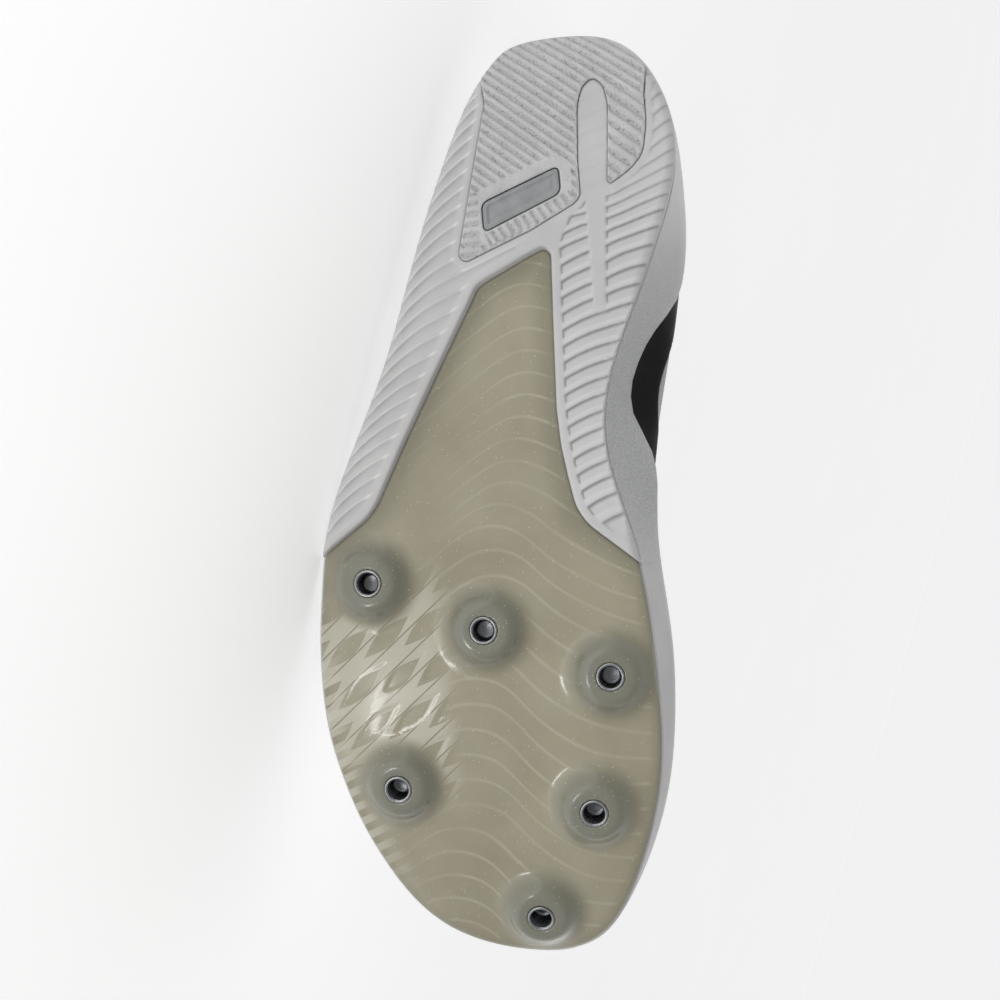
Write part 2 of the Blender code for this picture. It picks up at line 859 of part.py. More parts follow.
def rubber_outline(spread):
    """Round the back of the heel from the lateral arm to the medial arm, then along both arms."""
    back = []
    turn = rounded(0, LENGTH)
    lat, med = turn(14.5), turn(13.0)
    for side, a, b in ((-1, med, 0.0), (1, 0.0, lat)):
        for i in range(8 + (side > 0)):
            s = a + (b - a) * i / 8
            x = LENGTH / 2 * (1 - cos(pi * s))
            y = edge["lateral" if side > 0 else "medial"](x)
            towards = (Vector((22.0, -18.0)) - Vector((x, y))).normalized()
            back.append(tuple(Vector((x, y)) + towards * (0.7 - spread)))
    return back + bent(plan(RUBBER_OUT) + plan(RUBBER_SLOT), 2.6, closed=False)


def make_rubber():
    ob = slab(
        "heel_rubber",
        shrink(rubber_outline(0), 0.15),
        heel_under,
        lambda x, y: heel_under(x, y) + RUBBER,
        HEEL_LINES,
    )
    bed = slab("plaque_bed", bent(plan(PLAQUE), 2.4), lambda x, y: -4.0, lambda x, y: 1.5, FLAT)
    boolean(ob, bed, "DIFFERENCE")
    tidy(ob, 0.01)
    return ob


def make_plaque():
    return slab(
        "heel_plaque",
        shrink(bent(plan(PLAQUE), 2.4), GAP),
        lambda x, y: 0.25,
        lambda x, y: 1.5 - GAP,
        FLAT,
    )


# ---------------------------------------------------------------- insole
def insole_outline(margin):
    """The upper's feather line, drawn in past its wall, a little further at the arch's upright wall."""
    line = []
    for side in (1, -1):
        rows_on = UPPER_ROWS[::3] if side > 0 else UPPER_ROWS[-1::-3]
        for x in rows_on:
            y, z = half_section(x, side)[0]
            line.append((x + heel_curve(x, z), y + WAIST_DRAWN * waist(x, side)))
    kept = [p for i, p in enumerate(line) if (Vector(p) - Vector(line[i - 1])).length > 3.0]
    return shrink(kept, WALL + margin)


def make_insole():
    return slab(
        "insole",
        insole_outline(1.4),
        lambda x, y: level["bed"](x),
        lambda x, y: level["bed"](x) + INSOLE,
        BED_LINES,
    )


# ---------------------------------------------------------------- tongue
TONGUE_SHAPE = """
x     half  radius lift
76    17.0  17.0   0.0
84    17.5  16.6   0.0
92    17.5  16.2   0.0
98    18.0  16.8   0.0
106   19.0  19.0   0.0
118   20.0  23.0   0.0
150   19.0  25.0   0.0
180   16.0  25.0   0.0
198   13.0  25.0   0.0
214   10.0  25.0   0.0
"""
tongue_shape = columns(TONGUE_SHAPE)


def over_instep(x, d, radius):
    """Drop and lean of the instep's curve at d from the ridge."""
    a = d / radius
    return radius * sin(a), radius * (1 - cos(a)), a


def make_tongue():
    rings = []
    places = stations(((76.0, 84.0, 2, "start"), (84.0, 214.0, 14, "even")))
    across = 6
    for x in places:
        t = tongue_shape
        half, radius = t["half"](x), t["radius"](x)
        y0, z0 = ridge["y"](x), ridge["z"](x)
        slope = (ridge["z"](x + 2) - ridge["z"](x - 2)) / 4
        if x < 80:
            half *= 0.72 + 0.28 * sqrt((x - 76.0) / 4.0) if x > 76 else 0.72
        tilt = 1 / sqrt(1 + slope * slope)
        ring = []
        for offset, order in ((WALL + 0.7, 1), (WALL + 0.7 + TONGUE, -1)):
            for k in range(across + 1):
                d = half * (2 * k / across - 1) * order
                dy, dz, a = over_instep(x, d, radius)
                ny, nz = sin(a), cos(a)
                out = Vector((-slope * tilt * nz, ny, tilt * nz))
                # the edges of the tongue are thinner
                thin = offset
                if order < 0:
                    thin = WALL + 0.7 + TONGUE * (1 - 0.5 * abs(2 * k / across - 1) ** 3)
                p = Vector((x, y0 + dy, z0 - dz)) - out * thin
                ring.append(p)
        rings.append(ring)
    return loft("tongue", rings)


# ---------------------------------------------------------------- laces
EYELETS = 6
EYELET_BACK, EYELET_FRONT, EYELET_IN = 106.0, 184.0, 6.5


def eyelet_x(i):
    return EYELET_FRONT + (EYELET_BACK - EYELET_FRONT) * i / (EYELETS - 1)


def on_instep(x, across, lift):
    """A point over the eyestays or the tongue: across from the ridge (+ lateral), lifted off the surface."""
    side = 1 if across >= 0 else -1
    w = throat(x)
    cap = np.array([(w * k / 4, -((w * k / 4) ** 2) / (2 * CAP_RADIUS)) for k in range(5)])
    y0, z0 = ridge["y"](x), ridge["z"](x)
    wall = half_section(x, side, 4, 24)[::-1]
    wall = np.array([(side * (p[0] - y0), p[1] - z0) for p in wall])
    line = np.vstack([cap[:-1], wall])
    run = np.concatenate([[0], np.cumsum(np.hypot(*np.diff(line, axis=0).T))])
    a = abs(across)
    y, z = np.interp(a, run, line[:, 0]), np.interp(a, run, line[:, 1])
    y1, z1 = np.interp(a + 1.5, run, line[:, 0]), np.interp(a + 1.5, run, line[:, 1])
    if a < 1.5:
        ny, nz = y / CAP_RADIUS, 1.0
    else:
        ym, zm = np.interp(a - 1.5, run, line[:, 0]), np.interp(a - 1.5, run, line[:, 1])
        ny, nz = -(z1 - zm), (y1 - ym)
    k = sqrt(ny * ny + nz * nz)
    slope = (ridge["z"](x + 2) - ridge["z"](x - 2)) / 4
    out = Vector((-slope * nz / k, side * ny / k, nz / k)).normalized()
    return Vector((x, y0 + side * y, z0 + z)) + out * lift, out


def ribbon(name, path, lift):
    """A flat lace over the instep through (x, across) points."""
    dense = []
    for a, b in zip(path, path[1:]):
        for k in range(6):
            t = k / 6
            dense.append((a[0] + (b[0] - a[0]) * t, a[1] + (b[1] - a[1]) * t))
    dense.append(path[-1])
    pts = [on_instep(x, c, lift + LACE_THICK / 2) for x, c in dense]
    rings = []
    for i, (p, out) in enumerate(pts):
        a, b = pts[max(0, i - 1)][0], pts[min(len(pts) - 1, i + 1)][0]
        along = (b - a).normalized()
        wide = along.cross(out).normalized() * LACE_WIDTH / 2
        up = out * LACE_THICK / 2
        rings.append([p - wide - up, p + wide - up, p + wide + up, p - wide + up])
    return loft(name, rings)


def make_laces():
    """Crossings over the throat: each lace runs from eyelet to eyelet, and a bar joins the lowest pair."""
    spots = [(eyelet_x(i), throat(eyelet_x(i)) + EYELET_IN) for i in range(EYELETS)]
    bar = ribbon("laces", [(spots[0][0], -spots[0][1] - 2.0), (spots[0][0], spots[0][1] + 2.0)], 0.55)
    for i in range(EYELETS - 1):
        for side, lift in ((1, 0.75), (-1, 1.35)):
            (x0, c0), (x1, c1) = spots[i], spots[i + 1]
            one = ribbon("lace", [(x0, side * c0), (x1, -side * c1)], lift)
            boolean(bar, one, "UNION")
    tidy(bar, 0.01)
    return bar


# ---------------------------------------------------------------- building
made = {}
made["upper"] = make_upper()
foam = make_foam()
boolean(foam, make_last(GAP), "DIFFERENCE")
pocket = slab(
    "pocket",
    plate_outline(0, 9.0),
    lambda x, y: -30.0,
    lambda x, y: plate_under(x, y) + PLATE + GAP,
    PLATE_LINES,
)
boolean(foam, pocket, "DIFFERENCE")
well = slab(
    "rubber_well",
    rubber_outline(6.0),
    lambda x, y: -30.0,
    lambda x, y: heel_under(x, y) + RUBBER + GAP,
    HEEL_LINES,
)
boolean(foam, well, "DIFFERENCE")
tidy(foam, 0.01)
made["midsole"] = foam
made["spike_plate"] = make_plate()
for i, (x, y) in enumerate(plan(WELLS)):
    name = f"spike_insert_{i + 1}"
    made[name] = turned(name, INSERT, well_frame(x, y), 16)
made["heel_rubber"] = make_rubber()
made["heel_plaque"] = make_plaque()
made["insole"] = make_insole()
made["tongue"] = make_tongue()
made["laces"] = make_laces()

LOOKS = {
    "upper": ((0.80, 0.80, 0.81), 0.85, 0.0),
    "midsole": ((0.79, 0.78, 0.79), 0.6, 0.0),
    "spike_plate": ((0.42, 0.40, 0.31), 0.25, 0.0),
    "heel_rubber": ((0.55, 0.57, 0.58), 0.6, 0.0),
    "heel_plaque": ((0.42, 0.46, 0.46), 0.5, 0.0),
    "insole": ((0.30, 0.31, 0.33), 0.9, 0.0),
    "tongue": ((0.74, 0.74, 0.75), 0.9, 0.0),
    "laces": ((0.82, 0.82, 0.82), 0.9, 0.0),
    "spike_insert": ((0.60, 0.61, 0.62), 0.3, 1.0),
}

# lay every piece down, then set the floor level and the origin
low = np.array([1e9] * 3)
high = -low
for name, ob in made.items():
    ob.name = name
    ob.data.name = name
    colour, roughness, metallic = LOOKS[name.split("_insert_")[0] + "_insert" if "_insert_" in name else name]
    mat = bpy.data.materials.new(name)
    mat.use_nodes = True
    shader = mat.node_tree.nodes["Principled BSDF"]
    shader.inputs["Base Color"].default_value = (*colour, 1)
    shader.inputs["Roughness"].default_value = roughness
    shader.inputs["Metallic"].default_value = metallic
    ob.data.materials.clear()
    ob.data.materials.append(mat)
    ob.data.transform(TURN)
    co = np.array([v.co for v in ob.data.vertices])
    low, high = np.minimum(low, co.min(0)), np.maximum(high, co.max(0))
floor = low[2] + PRESS
SHIFT = Vector((-(low[0] + high[0]) / 2, -(low[1] + high[1]) / 2, -floor))
for ob in made.values():
    for v in ob.data.vertices:
        v.co = (v.co + SHIFT) * 0.001
        v.co.z = max(v.co.z, 0.0)
    if ob.name in ("upper", "midsole", "tongue"):
        ob.data.shade_smooth()
    ob.data.set_sharp_from_angle(angle=radians(40))
print("rest shift in mm", [round(c, 4) for c in SHIFT])
print("triangles", {n: sum(len(p.vertices) - 2 for p in o.data.polygons) for n, o in made.items()})
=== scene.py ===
"""Looks of an empty track spike shoe, a left one, lying on its lateral side.

Shapes are worked out in the shoe's own frame, in millimetres: x from the back of the heel to the toe,
y towards the lateral side, z up from the ground that the shoe would stand on. world() lays them down.
"""

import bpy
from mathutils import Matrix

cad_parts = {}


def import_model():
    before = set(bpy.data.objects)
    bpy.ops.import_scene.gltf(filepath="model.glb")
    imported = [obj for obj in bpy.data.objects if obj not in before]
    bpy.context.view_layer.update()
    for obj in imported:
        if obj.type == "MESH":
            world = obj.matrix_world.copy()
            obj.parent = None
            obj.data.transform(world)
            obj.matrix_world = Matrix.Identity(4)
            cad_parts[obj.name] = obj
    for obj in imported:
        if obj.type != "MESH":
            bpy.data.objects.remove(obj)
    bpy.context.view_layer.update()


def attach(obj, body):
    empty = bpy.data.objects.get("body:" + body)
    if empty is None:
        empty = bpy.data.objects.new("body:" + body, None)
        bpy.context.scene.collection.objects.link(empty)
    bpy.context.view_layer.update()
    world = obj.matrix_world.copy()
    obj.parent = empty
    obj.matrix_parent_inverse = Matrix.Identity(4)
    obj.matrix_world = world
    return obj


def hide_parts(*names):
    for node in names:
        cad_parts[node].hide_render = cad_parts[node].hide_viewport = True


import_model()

from math import acos, atan, cos, degrees, pi, radians, sin, sqrt

import bmesh
import bpy
import numpy as np
from mathutils import Matrix, Vector
from mathutils.geometry import delaunay_2d_cdt

# ---------------------------------------------------------------- named sizes, mm
LENGTH = 280.0
HEEL_X, TOE_X = 3.0, 277.0
HEEL_Y, TOE_Y = -20.4, -9.1
WALL = 2.0
COLLAR_WALL = 4.6
GAP = 0.3
FOAM_UNDER = 0.6
PLATE = 2.0
RUBBER = 2.6
INSOLE = 3.0
TONGUE = 3.4
LACE_WIDTH, LACE_THICK = 6.0, 1.3
THROAT_BACK, THROAT_TURN, THROAT_FRONT = 100.0, 190.0, 208.0
CAP_RADIUS = 25.0
WAIST_BACK, WAIST_FRONT = 66.0, 138.0  # where the medial arch is drawn in
REST_YAW = 15.7
REST_LEAN = 13.3
REST_SHIFT = (-131.5306, -55.4561, 13.7724)  # from the shoe's own frame to the row's, after the turn

SOLE_EDGE = """
x     lateral medial
0     -20.4   -20.4
3     -3.2    -33.0
10    3.9     -41.0
20    10.0    -47.0
30    14.4    -50.2
42    18.8    -50.7
54    22.8    -48.4
66    26.4    -44.6
80    30.3    -39.9
94    34.4    -34.8
108   39.5    -31.2
122   45.2    -30.9
136   50.7    -34.2
150   54.6    -38.9
165   56.6    -42.6
180   57.3    -45.0
195   56.8    -46.6
210   54.9    -47.5
224   51.1    -46.8
238   45.8    -44.3
251   39.0    -40.6
264   29.8    -35.2
272   20.8    -29.8
278   7.0     -20.8
280   -9.1    -9.1
"""
LEVELS = """
x     rails  plate  bed
0     9.4    9.0    20.6
5     5.4    5.0    20.2
12    2.4    3.4    19.7
20    0.9    3.2    19.3
28    0.6    3.1    19.1
50    0.6    3.1    19.0
70    0.6    3.2    18.5
90    1.0    3.7    17.3
110   1.8    4.3    15.7
130   2.6    4.8    13.8
145   3.2    5.0    12.7
160   3.4    5.0    12.1
180   3.4    5.0    12.0
200   4.0    5.5    12.6
220   5.6    7.1    14.3
240   8.8    10.3   17.5
258   13.0   14.5   21.2
270   16.6   18.1   24.4
277   19.6   21.1   26.6
280   21.4   22.9   27.8
"""
UPPER_SIDE = """
x     lat_foot med_foot lat_wide med_wide wide_z
3     -19.5    -19.5    -19.5    -19.5    38
8     -6.0     -32.6    -3.6     -35.2    38
16    2.6      -39.4    5.8      -42.4    38
28    9.4      -45.0    12.2     -48.2    38
42    13.2     -47.6    15.6     -51.2    38
58    17.0     -47.6    19.4     -52.4    38
74    21.2     -44.2    23.6     -51.4    38
90    25.6     -38.0    28.4     -49.4    38
106   30.6     -33.6    33.8     -46.9    37.5
122   36.2     -32.4    39.6     -44.7    36
138   42.0     -34.4    45.2     -43.6    33.5
152   46.6     -37.6    49.6     -44.0    30.5
166   49.8     -40.8    52.6     -46.2    27.5
180   51.4     -43.4    54.2     -48.4    25.5
194   51.4     -45.6    54.2     -49.2    25
208   49.4     -45.8    52.2     -49.0    25.5
222   45.8     -44.6    48.4     -47.6    26.5
236   40.6     -41.6    43.0     -44.4    28
250   33.2     -36.8    35.6     -39.4    30
262   24.2     -30.6    26.4     -33.0    32
270   15.0     -24.6    16.8     -26.4    33
275   3.8      -17.4    4.8      -18.4    33
277   -9.0     -9.0     -9.0     -9.0     33
"""
RIDGE = """
x     y      z
60    -8.0   122.0
74    -8.0   111.0
86    -8.1   103.0
96    -8.3   96.6
106   -8.7   90.8
122   -9.4   82.8
138   -9.8   75.8
152   -9.8   70.2
166   -9.4   65.0
180   -9.0   60.4
194   -8.6   56.7
208   -8.2   53.8
222   -8.0   51.3
236   -8.1   48.7
250   -8.4   46.3
262   -8.8   43.4
270   -9.0   40.4
275   -9.0   36.8
277   -9.0   33.0
"""
COLLAR = """
x     lateral medial lat_z  med_z  slope
3     -19.5   -19.5  87.5   87.5   92
8     -9.4    -30.2  87.0   87.0   91
16    -2.2    -36.4  84.2   84.2   89
28    4.0     -41.4  77.4   77.6   85
42    8.4     -44.4  70.4   71.2   81
58    11.6    -45.0  66.6   68.0   77
72    13.4    -42.0  68.2   69.6   70
82    12.0    -35.6  74.0   75.0   60
90    8.4     -28.4  82.4   82.8   46
96    4.9     -22.2  89.6   89.7   34
"""
FOAM_RIM = """
x     lateral medial
0     34.0    34.0
30    33.0    34.0
60    30.0    34.0
75    27.6    31.6
89    25.6    25.8
104   24.6    22.2
117   25.2    25.4
130   26.0    29.2
142   25.4    29.6
158   22.8    25.6
176   21.0    21.6
195   20.6    20.6
215   21.6    21.6
240   24.8    24.8
262   29.6    29.6
280   33.6    33.6
"""
WELLS = """
x     y
164   40.0
177.4 5.0
190.2 -32.2
225.2 31.4
230.2 -27.3
264   -10.8
"""
WINDOW = """
x     y
75.5  7.4
66.6  -8.4
64.6  -12.6
66.6  -14.9
86    -15.5
112   -16.4
123   -17.7
132   -19.7
141   -22.0
146   -25.4
157   -40.2
"""
WINDOW_LATERAL = """
x     y
155.4 54.6
144.6 41.4
140.4 38.4
124   31.0
100   19.4
80    9.4
"""
RUBBER_OUT = """
x     y
22.3  4.8
33.3  6.8
49.3  9.6
67.2  12.6
69.0  10.4
60.1  -9.0
52.6  -22.0
50.4  -23.6
"""
RUBBER_SLOT = """
x     y
40    -22.8
24    -22.6
18.5  -24.0
15.8  -27.0
18.5  -30.0
24    -31.4
46.4  -31.2
47.4  -32.2
43.4  -38.0
39.0  -41.6
30.2  -42.6
21.4  -41.9
"""
PLAQUE = """
x     y
41.4  -17.2
49.6  -18.0
60.6  5.0
51.6  5.8
"""
# the wave lines moulded in the plate: where their crests run, and how far a line drops
# towards the heel side of its crest, across the shoe (across grows towards the medial side)
CREST = """
x      y
60     -7.0
97.7   -8.7
110.8  -7.6
122.0  -5.1
129.0  -3.9
135.0  -2.4
142.0  1.2
149.0  2.6
156.0  1.9
191.0  7.2
199.0  7.2
216.0  9.2
232.0  8.6
240.0  12.7
247.0  13.9
262.0  15.0
"""
WAVE = """
across window middle front
-60    42.0   42.0   42.0
-49    34.0   35.0   34.0
-32    20.4   21.2   19.4
-20.3  10.6   11.2   10.0
-13.4  5.4    5.4    4.6
-7.8   1.8    1.8    1.2
0      0.0    0.0    0.0
5.3    1.3    1.1    1.1
10.3   3.4    4.2    4.2
15.5   6.4    8.8    9.6
24.0   11.5   14.2   16.6
32.0   16.5   18.0   20.8
39.0   20.0   20.4   22.4
50.0   26.0   23.2   22.7
"""


def rows(table):
    """A table as a dict of named columns."""
    lines = [line.split() for line in table.strip().splitlines()]
    return {name: np.array([float(r[i]) for r in lines[1:]]) for i, name in enumerate(lines[0])}


def smooth(places, values):
    """A natural cubic spline through a column."""
    t, v = np.asarray(places, float), np.asarray(values, float)
    n, h = len(t), np.diff(t)
    a, b = np.eye(n), np.zeros(n)
    for i in range(1, n - 1):
        a[i, i - 1 : i + 2] = h[i - 1], 2 * (h[i - 1] + h[i]), h[i]
        b[i] = 6 * ((v[i + 1] - v[i]) / h[i] - (v[i] - v[i - 1]) / h[i - 1])
    m = np.linalg.solve(a, b)

    def at(q):
        q = np.asarray(q, float)
        i = np.clip(np.searchsorted(t, q) - 1, 0, n - 2)
        u, w = q - t[i], t[i + 1] - q
        return (
            (m[i] * w**3 + m[i + 1] * u**3) / (6 * h[i])
            + (v[i] / h[i] - m[i] * h[i] / 6) * w
            + (v[i + 1] / h[i] - m[i + 1] * h[i] / 6) * u
        )

    return at


def rounded(low, high):
    """Turns a length into an angle, so that an outline closes round at both ends."""
    return lambda x: np.arccos(np.clip(1 - 2 * (np.asarray(x, float) - low) / (high - low), -1, 1)) / pi


def columns(table, low=None, high=None):
    """Each column of a table as a smooth function of x."""
    data = rows(table)
    turn = rounded(low, high) if low is not None else (lambda x: x)
    places = [float(turn(x)) for x in data["x"]]
    made = {}
    for name, values in data.items():
        if name != "x":
            made[name] = (lambda f: lambda x: f(turn(x)))(smooth(places, values))
    return made


edge = columns(SOLE_EDGE, 0, LENGTH)
level = columns(LEVELS)
side_of = columns(UPPER_SIDE, HEEL_X, TOE_X)
ridge = columns(RIDGE)
rim = columns(FOAM_RIM)


def step(a, b, t):
    """A soft step from 0 at a to 1 at b."""
    t = np.clip((t - a) / (b - a), 0, 1)
    return t * t * (3 - 2 * t)


def throat(x):
    if x >= THROAT_FRONT:
        return 0.0
    wide = 13.0 - 2.2 * (x - THROAT_BACK) / (THROAT_TURN - THROAT_BACK)
    if x > THROAT_TURN:
        wide *= sqrt(max(0.0, 1 - ((x - THROAT_TURN) / (THROAT_FRONT - THROAT_TURN)) ** 2))
    return wide


def instep_edge(x, side):
    w = throat(x)
    return float(ridge["y"](x)) + side * w, float(ridge["z"](x)) - w * w / (2 * CAP_RADIUS), atan(w / CAP_RADIUS)


def collar_columns():
    data = rows(COLLAR)
    turn = rounded(HEEL_X, TOE_X)
    places = [float(turn(x)) for x in data["x"]]
    joins = [THROAT_BACK + 2, THROAT_BACK + 8, THROAT_BACK + 16]
    places += [float(turn(x)) for x in joins]
    made = {}
    for name, side, kind in (
        ("lateral", 1, 0),
        ("medial", -1, 0),
        ("lat_z", 1, 1),
        ("med_z", -1, 1),
        ("slope", 1, 2),
    ):
        tail = [instep_edge(x, side)[kind] for x in joins]
        if kind == 2:
            tail = [degrees(v) for v in tail]
        f = smooth(places, list(data[name]) + tail)
        made[name] = (lambda f: lambda x: float(f(turn(x))))(f)
    return made


collar = collar_columns()


def top_edge(x, side):
    """The upper's top edge at x on one side (+1 lateral, -1 medial): y, z, slope below level."""
    if x >= THROAT_BACK + 2:
        return instep_edge(x, side)
    if side > 0:
        return collar["lateral"](x), collar["lat_z"](x), radians(collar["slope"](x))
    return collar["medial"](x), collar["med_z"](x), radians(collar["slope"](x))


def bezier(p, n):
    t = np.linspace(0, 1, n)[:, None]
    p = np.asarray(p, float)
    return (1 - t) ** 3 * p[0] + 3 * (1 - t) ** 2 * t * p[1] + 3 * (1 - t) * t * t * p[2] + t**3 * p[3]


def waist(x, side):
    """How far the medial arch is drawn in above the feather line, 0 to 1."""
    if side > 0:
        return 0.0
    a = min(1.0, max(0.0, (x - WAIST_BACK) / 24.0))
    b = min(1.0, max(0.0, (WAIST_FRONT - x) / 30.0))
    return a * a * (3 - 2 * a) * b * b * (3 - 2 * b)


def half_section(x, side, low=3, high=7):
    """The upper's outer surface across the shoe at x, from the feather line up to its top edge: (y, z) rows."""
    key = "lat" if side > 0 else "med"
    wide_z = float(side_of["wide_z"](x))
    foot = np.array([float(side_of[key + "_foot"](x)), min(float(level["bed"](x)), wide_z)])
    wide = np.array([float(side_of[key + "_wide"](x)), wide_z])
    ty, tz, slope = top_edge(x, side)
    top = np.array([ty, tz])
    rise = wide[1] - foot[1]
    out = wide[0] - foot[0]
    w = waist(x, side)
    lower = bezier([foot, foot + (out * 0.62 * (1 - w), rise * (0.22 + 0.2 * w)), wide - (0, rise * (0.46 - 0.24 * w)), wide], low + 1)
    across, up = abs(wide[0] - ty), tz - wide[1]
    reach = sqrt((across * cos(slope)) ** 2 + (up * sin(slope)) ** 2) * 0.5
    lean = side * cos(slope) * min(reach, across * 1.5)
    upper = bezier([wide, wide + (0, up * 0.5), top + (lean, -sin(slope) * reach), top], high + 1)
    return np.vstack([lower, upper[1:]])


def heel_curve(x, z):
    """Draws the back of the heel in below and above its fullest point."""
    near = max(0.0, 1 - (x - HEEL_X) / 70.0) ** 2
    below = np.maximum(0.0, (38.0 - z) / 20.0)
    above = np.maximum(0.0, (z - 38.0) / 50.0)
    return near * (2.2 * below**2 + 4.2 * above**2)


def side_at(x, side, z):
    wall = half_section(x, side, 6, 8)
    return float(np.interp(z, wall[:12, 1], wall[:12, 0]))


def beyond(column, x):
    """A height column, carried on straight past both ends of the sole."""
    x = np.asarray(x, float)
    inside = np.clip(x, 0.0, LENGTH)
    stride = np.where(x > inside, -0.5, 0.5)
    slope = (column(inside + stride) - column(inside)) / stride
    return column(inside) + slope * (x - inside)


def camber(x, y):
    x, y = np.asarray(x, float), np.asarray(y, float)
    at = np.clip(x, 0, LENGTH)
    lat, med = edge["lateral"](at), edge["medial"](at)
    middle, half = (lat + med) / 2, np.maximum(14.0, (lat - med) / 2)
    t = np.minimum(1.5, np.abs(y - middle) / half)
    fade = np.clip((x - 150) / 18, 0, 1)
    return 1.8 * fade * np.minimum(1.0, half / 48) * np.maximum(0.0, (t - 0.6) / 0.4) ** 2


def plate_under(x, y):
    return beyond(level["plate"], x) + camber(x, y)


def heel_under(x, y):
    """The rubber's tread face: flat on the ground, and rising round the back of the heel."""
    return np.where(np.asarray(x) > 24, 0.0, np.maximum(0.0, beyond(level["rails"], x) - FOAM_UNDER - 0.1))


# ---------------------------------------------------------------- outlines in plan
def bent(points, radius, steps=6, closed=True):
    """An outline with its corners rounded, radius worked out corner by corner."""
    made, n = [], len(points)
    for i in range(n):
        if not closed and i in (0, n - 1):
            made.append(tuple(points[i]))
            continue
        a, b, c = (Vector(points[(i + k - 1) % n]) for k in range(3))
        u, v = (a - b), (c - b)
        r = min(radius, u.length * 0.45, v.length * 0.45)
        if r < 0.3 or (u.normalized() + v.normalized()).length < 0.12:
            made.append(tuple(b))
            continue
        p, q = b + u.normalized() * r, b + v.normalized() * r
        for k in range(steps + 1):
            t = k / steps
            made.append(tuple(p * (1 - t) ** 2 + b * 2 * t * (1 - t) + q * t * t))
    return made


def plan(table):
    data = rows(table)
    return list(zip(data["x"], data["y"]))


def shrink(points, by):
    """Moves an outline in by a distance, along the corner's bisector."""
    area = sum(a[0] * b[1] - b[0] * a[1] for a, b in zip(points, points[1:] + points[:1]))
    sign = 1 if area > 0 else -1
    made, n = [], len(points)
    for i in range(n):
        a, b, c = (Vector(points[(i + k - 1) % n]) for k in range(3))
        u, v = (b - a).normalized(), (c - b).normalized()
        nu, nv = Vector((-u.y, u.x)) * sign, Vector((-v.y, v.x)) * sign
        mid = nu + nv
        mid = mid / max(0.35, mid.length_squared / 2)
        made.append(tuple(b + mid * by))
    return made


def even(points, gap, closed=True):
    """A polyline sampled again at even steps of about gap, as an array."""
    p = np.array(points, float)
    if closed:
        p = np.vstack([p, p[:1]])
    run = np.concatenate([[0], np.cumsum(np.hypot(*np.diff(p, axis=0).T))])
    count = max(3, int(round(run[-1] / gap)))
    at = np.linspace(0, run[-1], count + 1)
    made = np.stack([np.interp(at, run, p[:, 0]), np.interp(at, run, p[:, 1])], 1)
    return made[:-1] if closed else made


def relaxed(points, rounds):
    """A closed polyline with its small corners smoothed away."""
    for _ in range(rounds):
        points = points * 0.5 + (np.roll(points, 1, 0) + np.roll(points, -1, 0)) * 0.25
    return points


def sole_outline(start, end, inset, count):
    turn = rounded(0, LENGTH)
    lateral, medial = float(turn(start)), float(turn(end))
    made = []
    for side, a, b in ((1, lateral, 1.0), (-1, 1.0, medial)):
        for i in range(count + (side < 0)):
            s = a + (b - a) * i / count
            x = LENGTH / 2 * (1 - cos(pi * s))
            made.append(Vector((x, float(edge["lateral" if side > 0 else "medial"](x)))))
    moved = []
    for i, p in enumerate(made):
        a, b = made[max(0, i - 1)], made[min(len(made) - 1, i + 1)]
        along = (b - a).normalized()
        moved.append(tuple(p + Vector((-along.y, along.x)) * -inset))
    return moved


def plate_outline(inset, spread, count=90):
    ahead = sole_outline(157, 158.5, 0.6 - spread, count)
    window = bent(plan(WINDOW_LATERAL) + plan(WINDOW), 3.0, 6, closed=False)
    window[0] = (window[0][0], window[0][1] + spread)
    window[-1] = (window[-1][0], window[-1][1] - spread)
    around = ahead + window[::-1]
    return shrink(around, inset) if inset else around


def rubber_outline(spread):
    back = []
    turn = rounded(0, LENGTH)
    lat, med = float(turn(14.5)), float(turn(13.0))
    for side, a, b in ((-1, med, 0.0), (1, 0.0, lat)):
        for i in range(24 + (side > 0)):
            s = a + (b - a) * i / 24
            x = LENGTH / 2 * (1 - cos(pi * s))
            y = float(edge["lateral" if side > 0 else "medial"](x))
            towards = (Vector((22.0, -18.0)) - Vector((x, y))).normalized()
            back.append(tuple(Vector((x, y)) + towards * (0.7 - spread)))
    return back + bent(plan(RUBBER_OUT) + plan(RUBBER_SLOT), 2.6, closed=False)


def inside(points, outline):
    """Which points lie within a closed outline."""
    x, y = points[:, 0], points[:, 1]
    odd = np.zeros(len(points), bool)
    for (x0, y0), (x1, y1) in zip(outline, np.roll(outline, -1, 0)):
        if y0 != y1:
            odd ^= ((y0 > y) != (y1 > y)) & (x < (x1 - x0) * (y - y0) / (y1 - y0) + x0)
    return odd


def nearest(points, line, closed=True):
    """Distance from each point to an evenly sampled polyline, and the number of its closest point there."""
    n = len(line)
    far, index = np.empty(len(points)), np.empty(len(points), int)
    for k in range(0, len(points), 3000):
        p = points[k : k + 3000]
        d2 = ((p[:, None, :] - line[None]) ** 2).sum(2)
        i = d2.argmin(1)
        best = np.sqrt(d2[np.arange(len(p)), i])
        for back in (-1, 0):
            if closed:
                a, b = line[(i + back) % n], line[(i + back + 1) % n]
            else:
                a, b = line[np.clip(i + back, 0, n - 1)], line[np.clip(i + back + 1, 0, n - 1)]
            ab = b - a
            t = np.clip(((p - a) * ab).sum(1) / np.maximum((ab**2).sum(1), 1e-9), 0, 1)
            best = np.minimum(best, np.hypot(*(p - a - ab * t[:, None]).T))
        far[k : k + 3000], index[k : k + 3000] = best, i
    return far, index


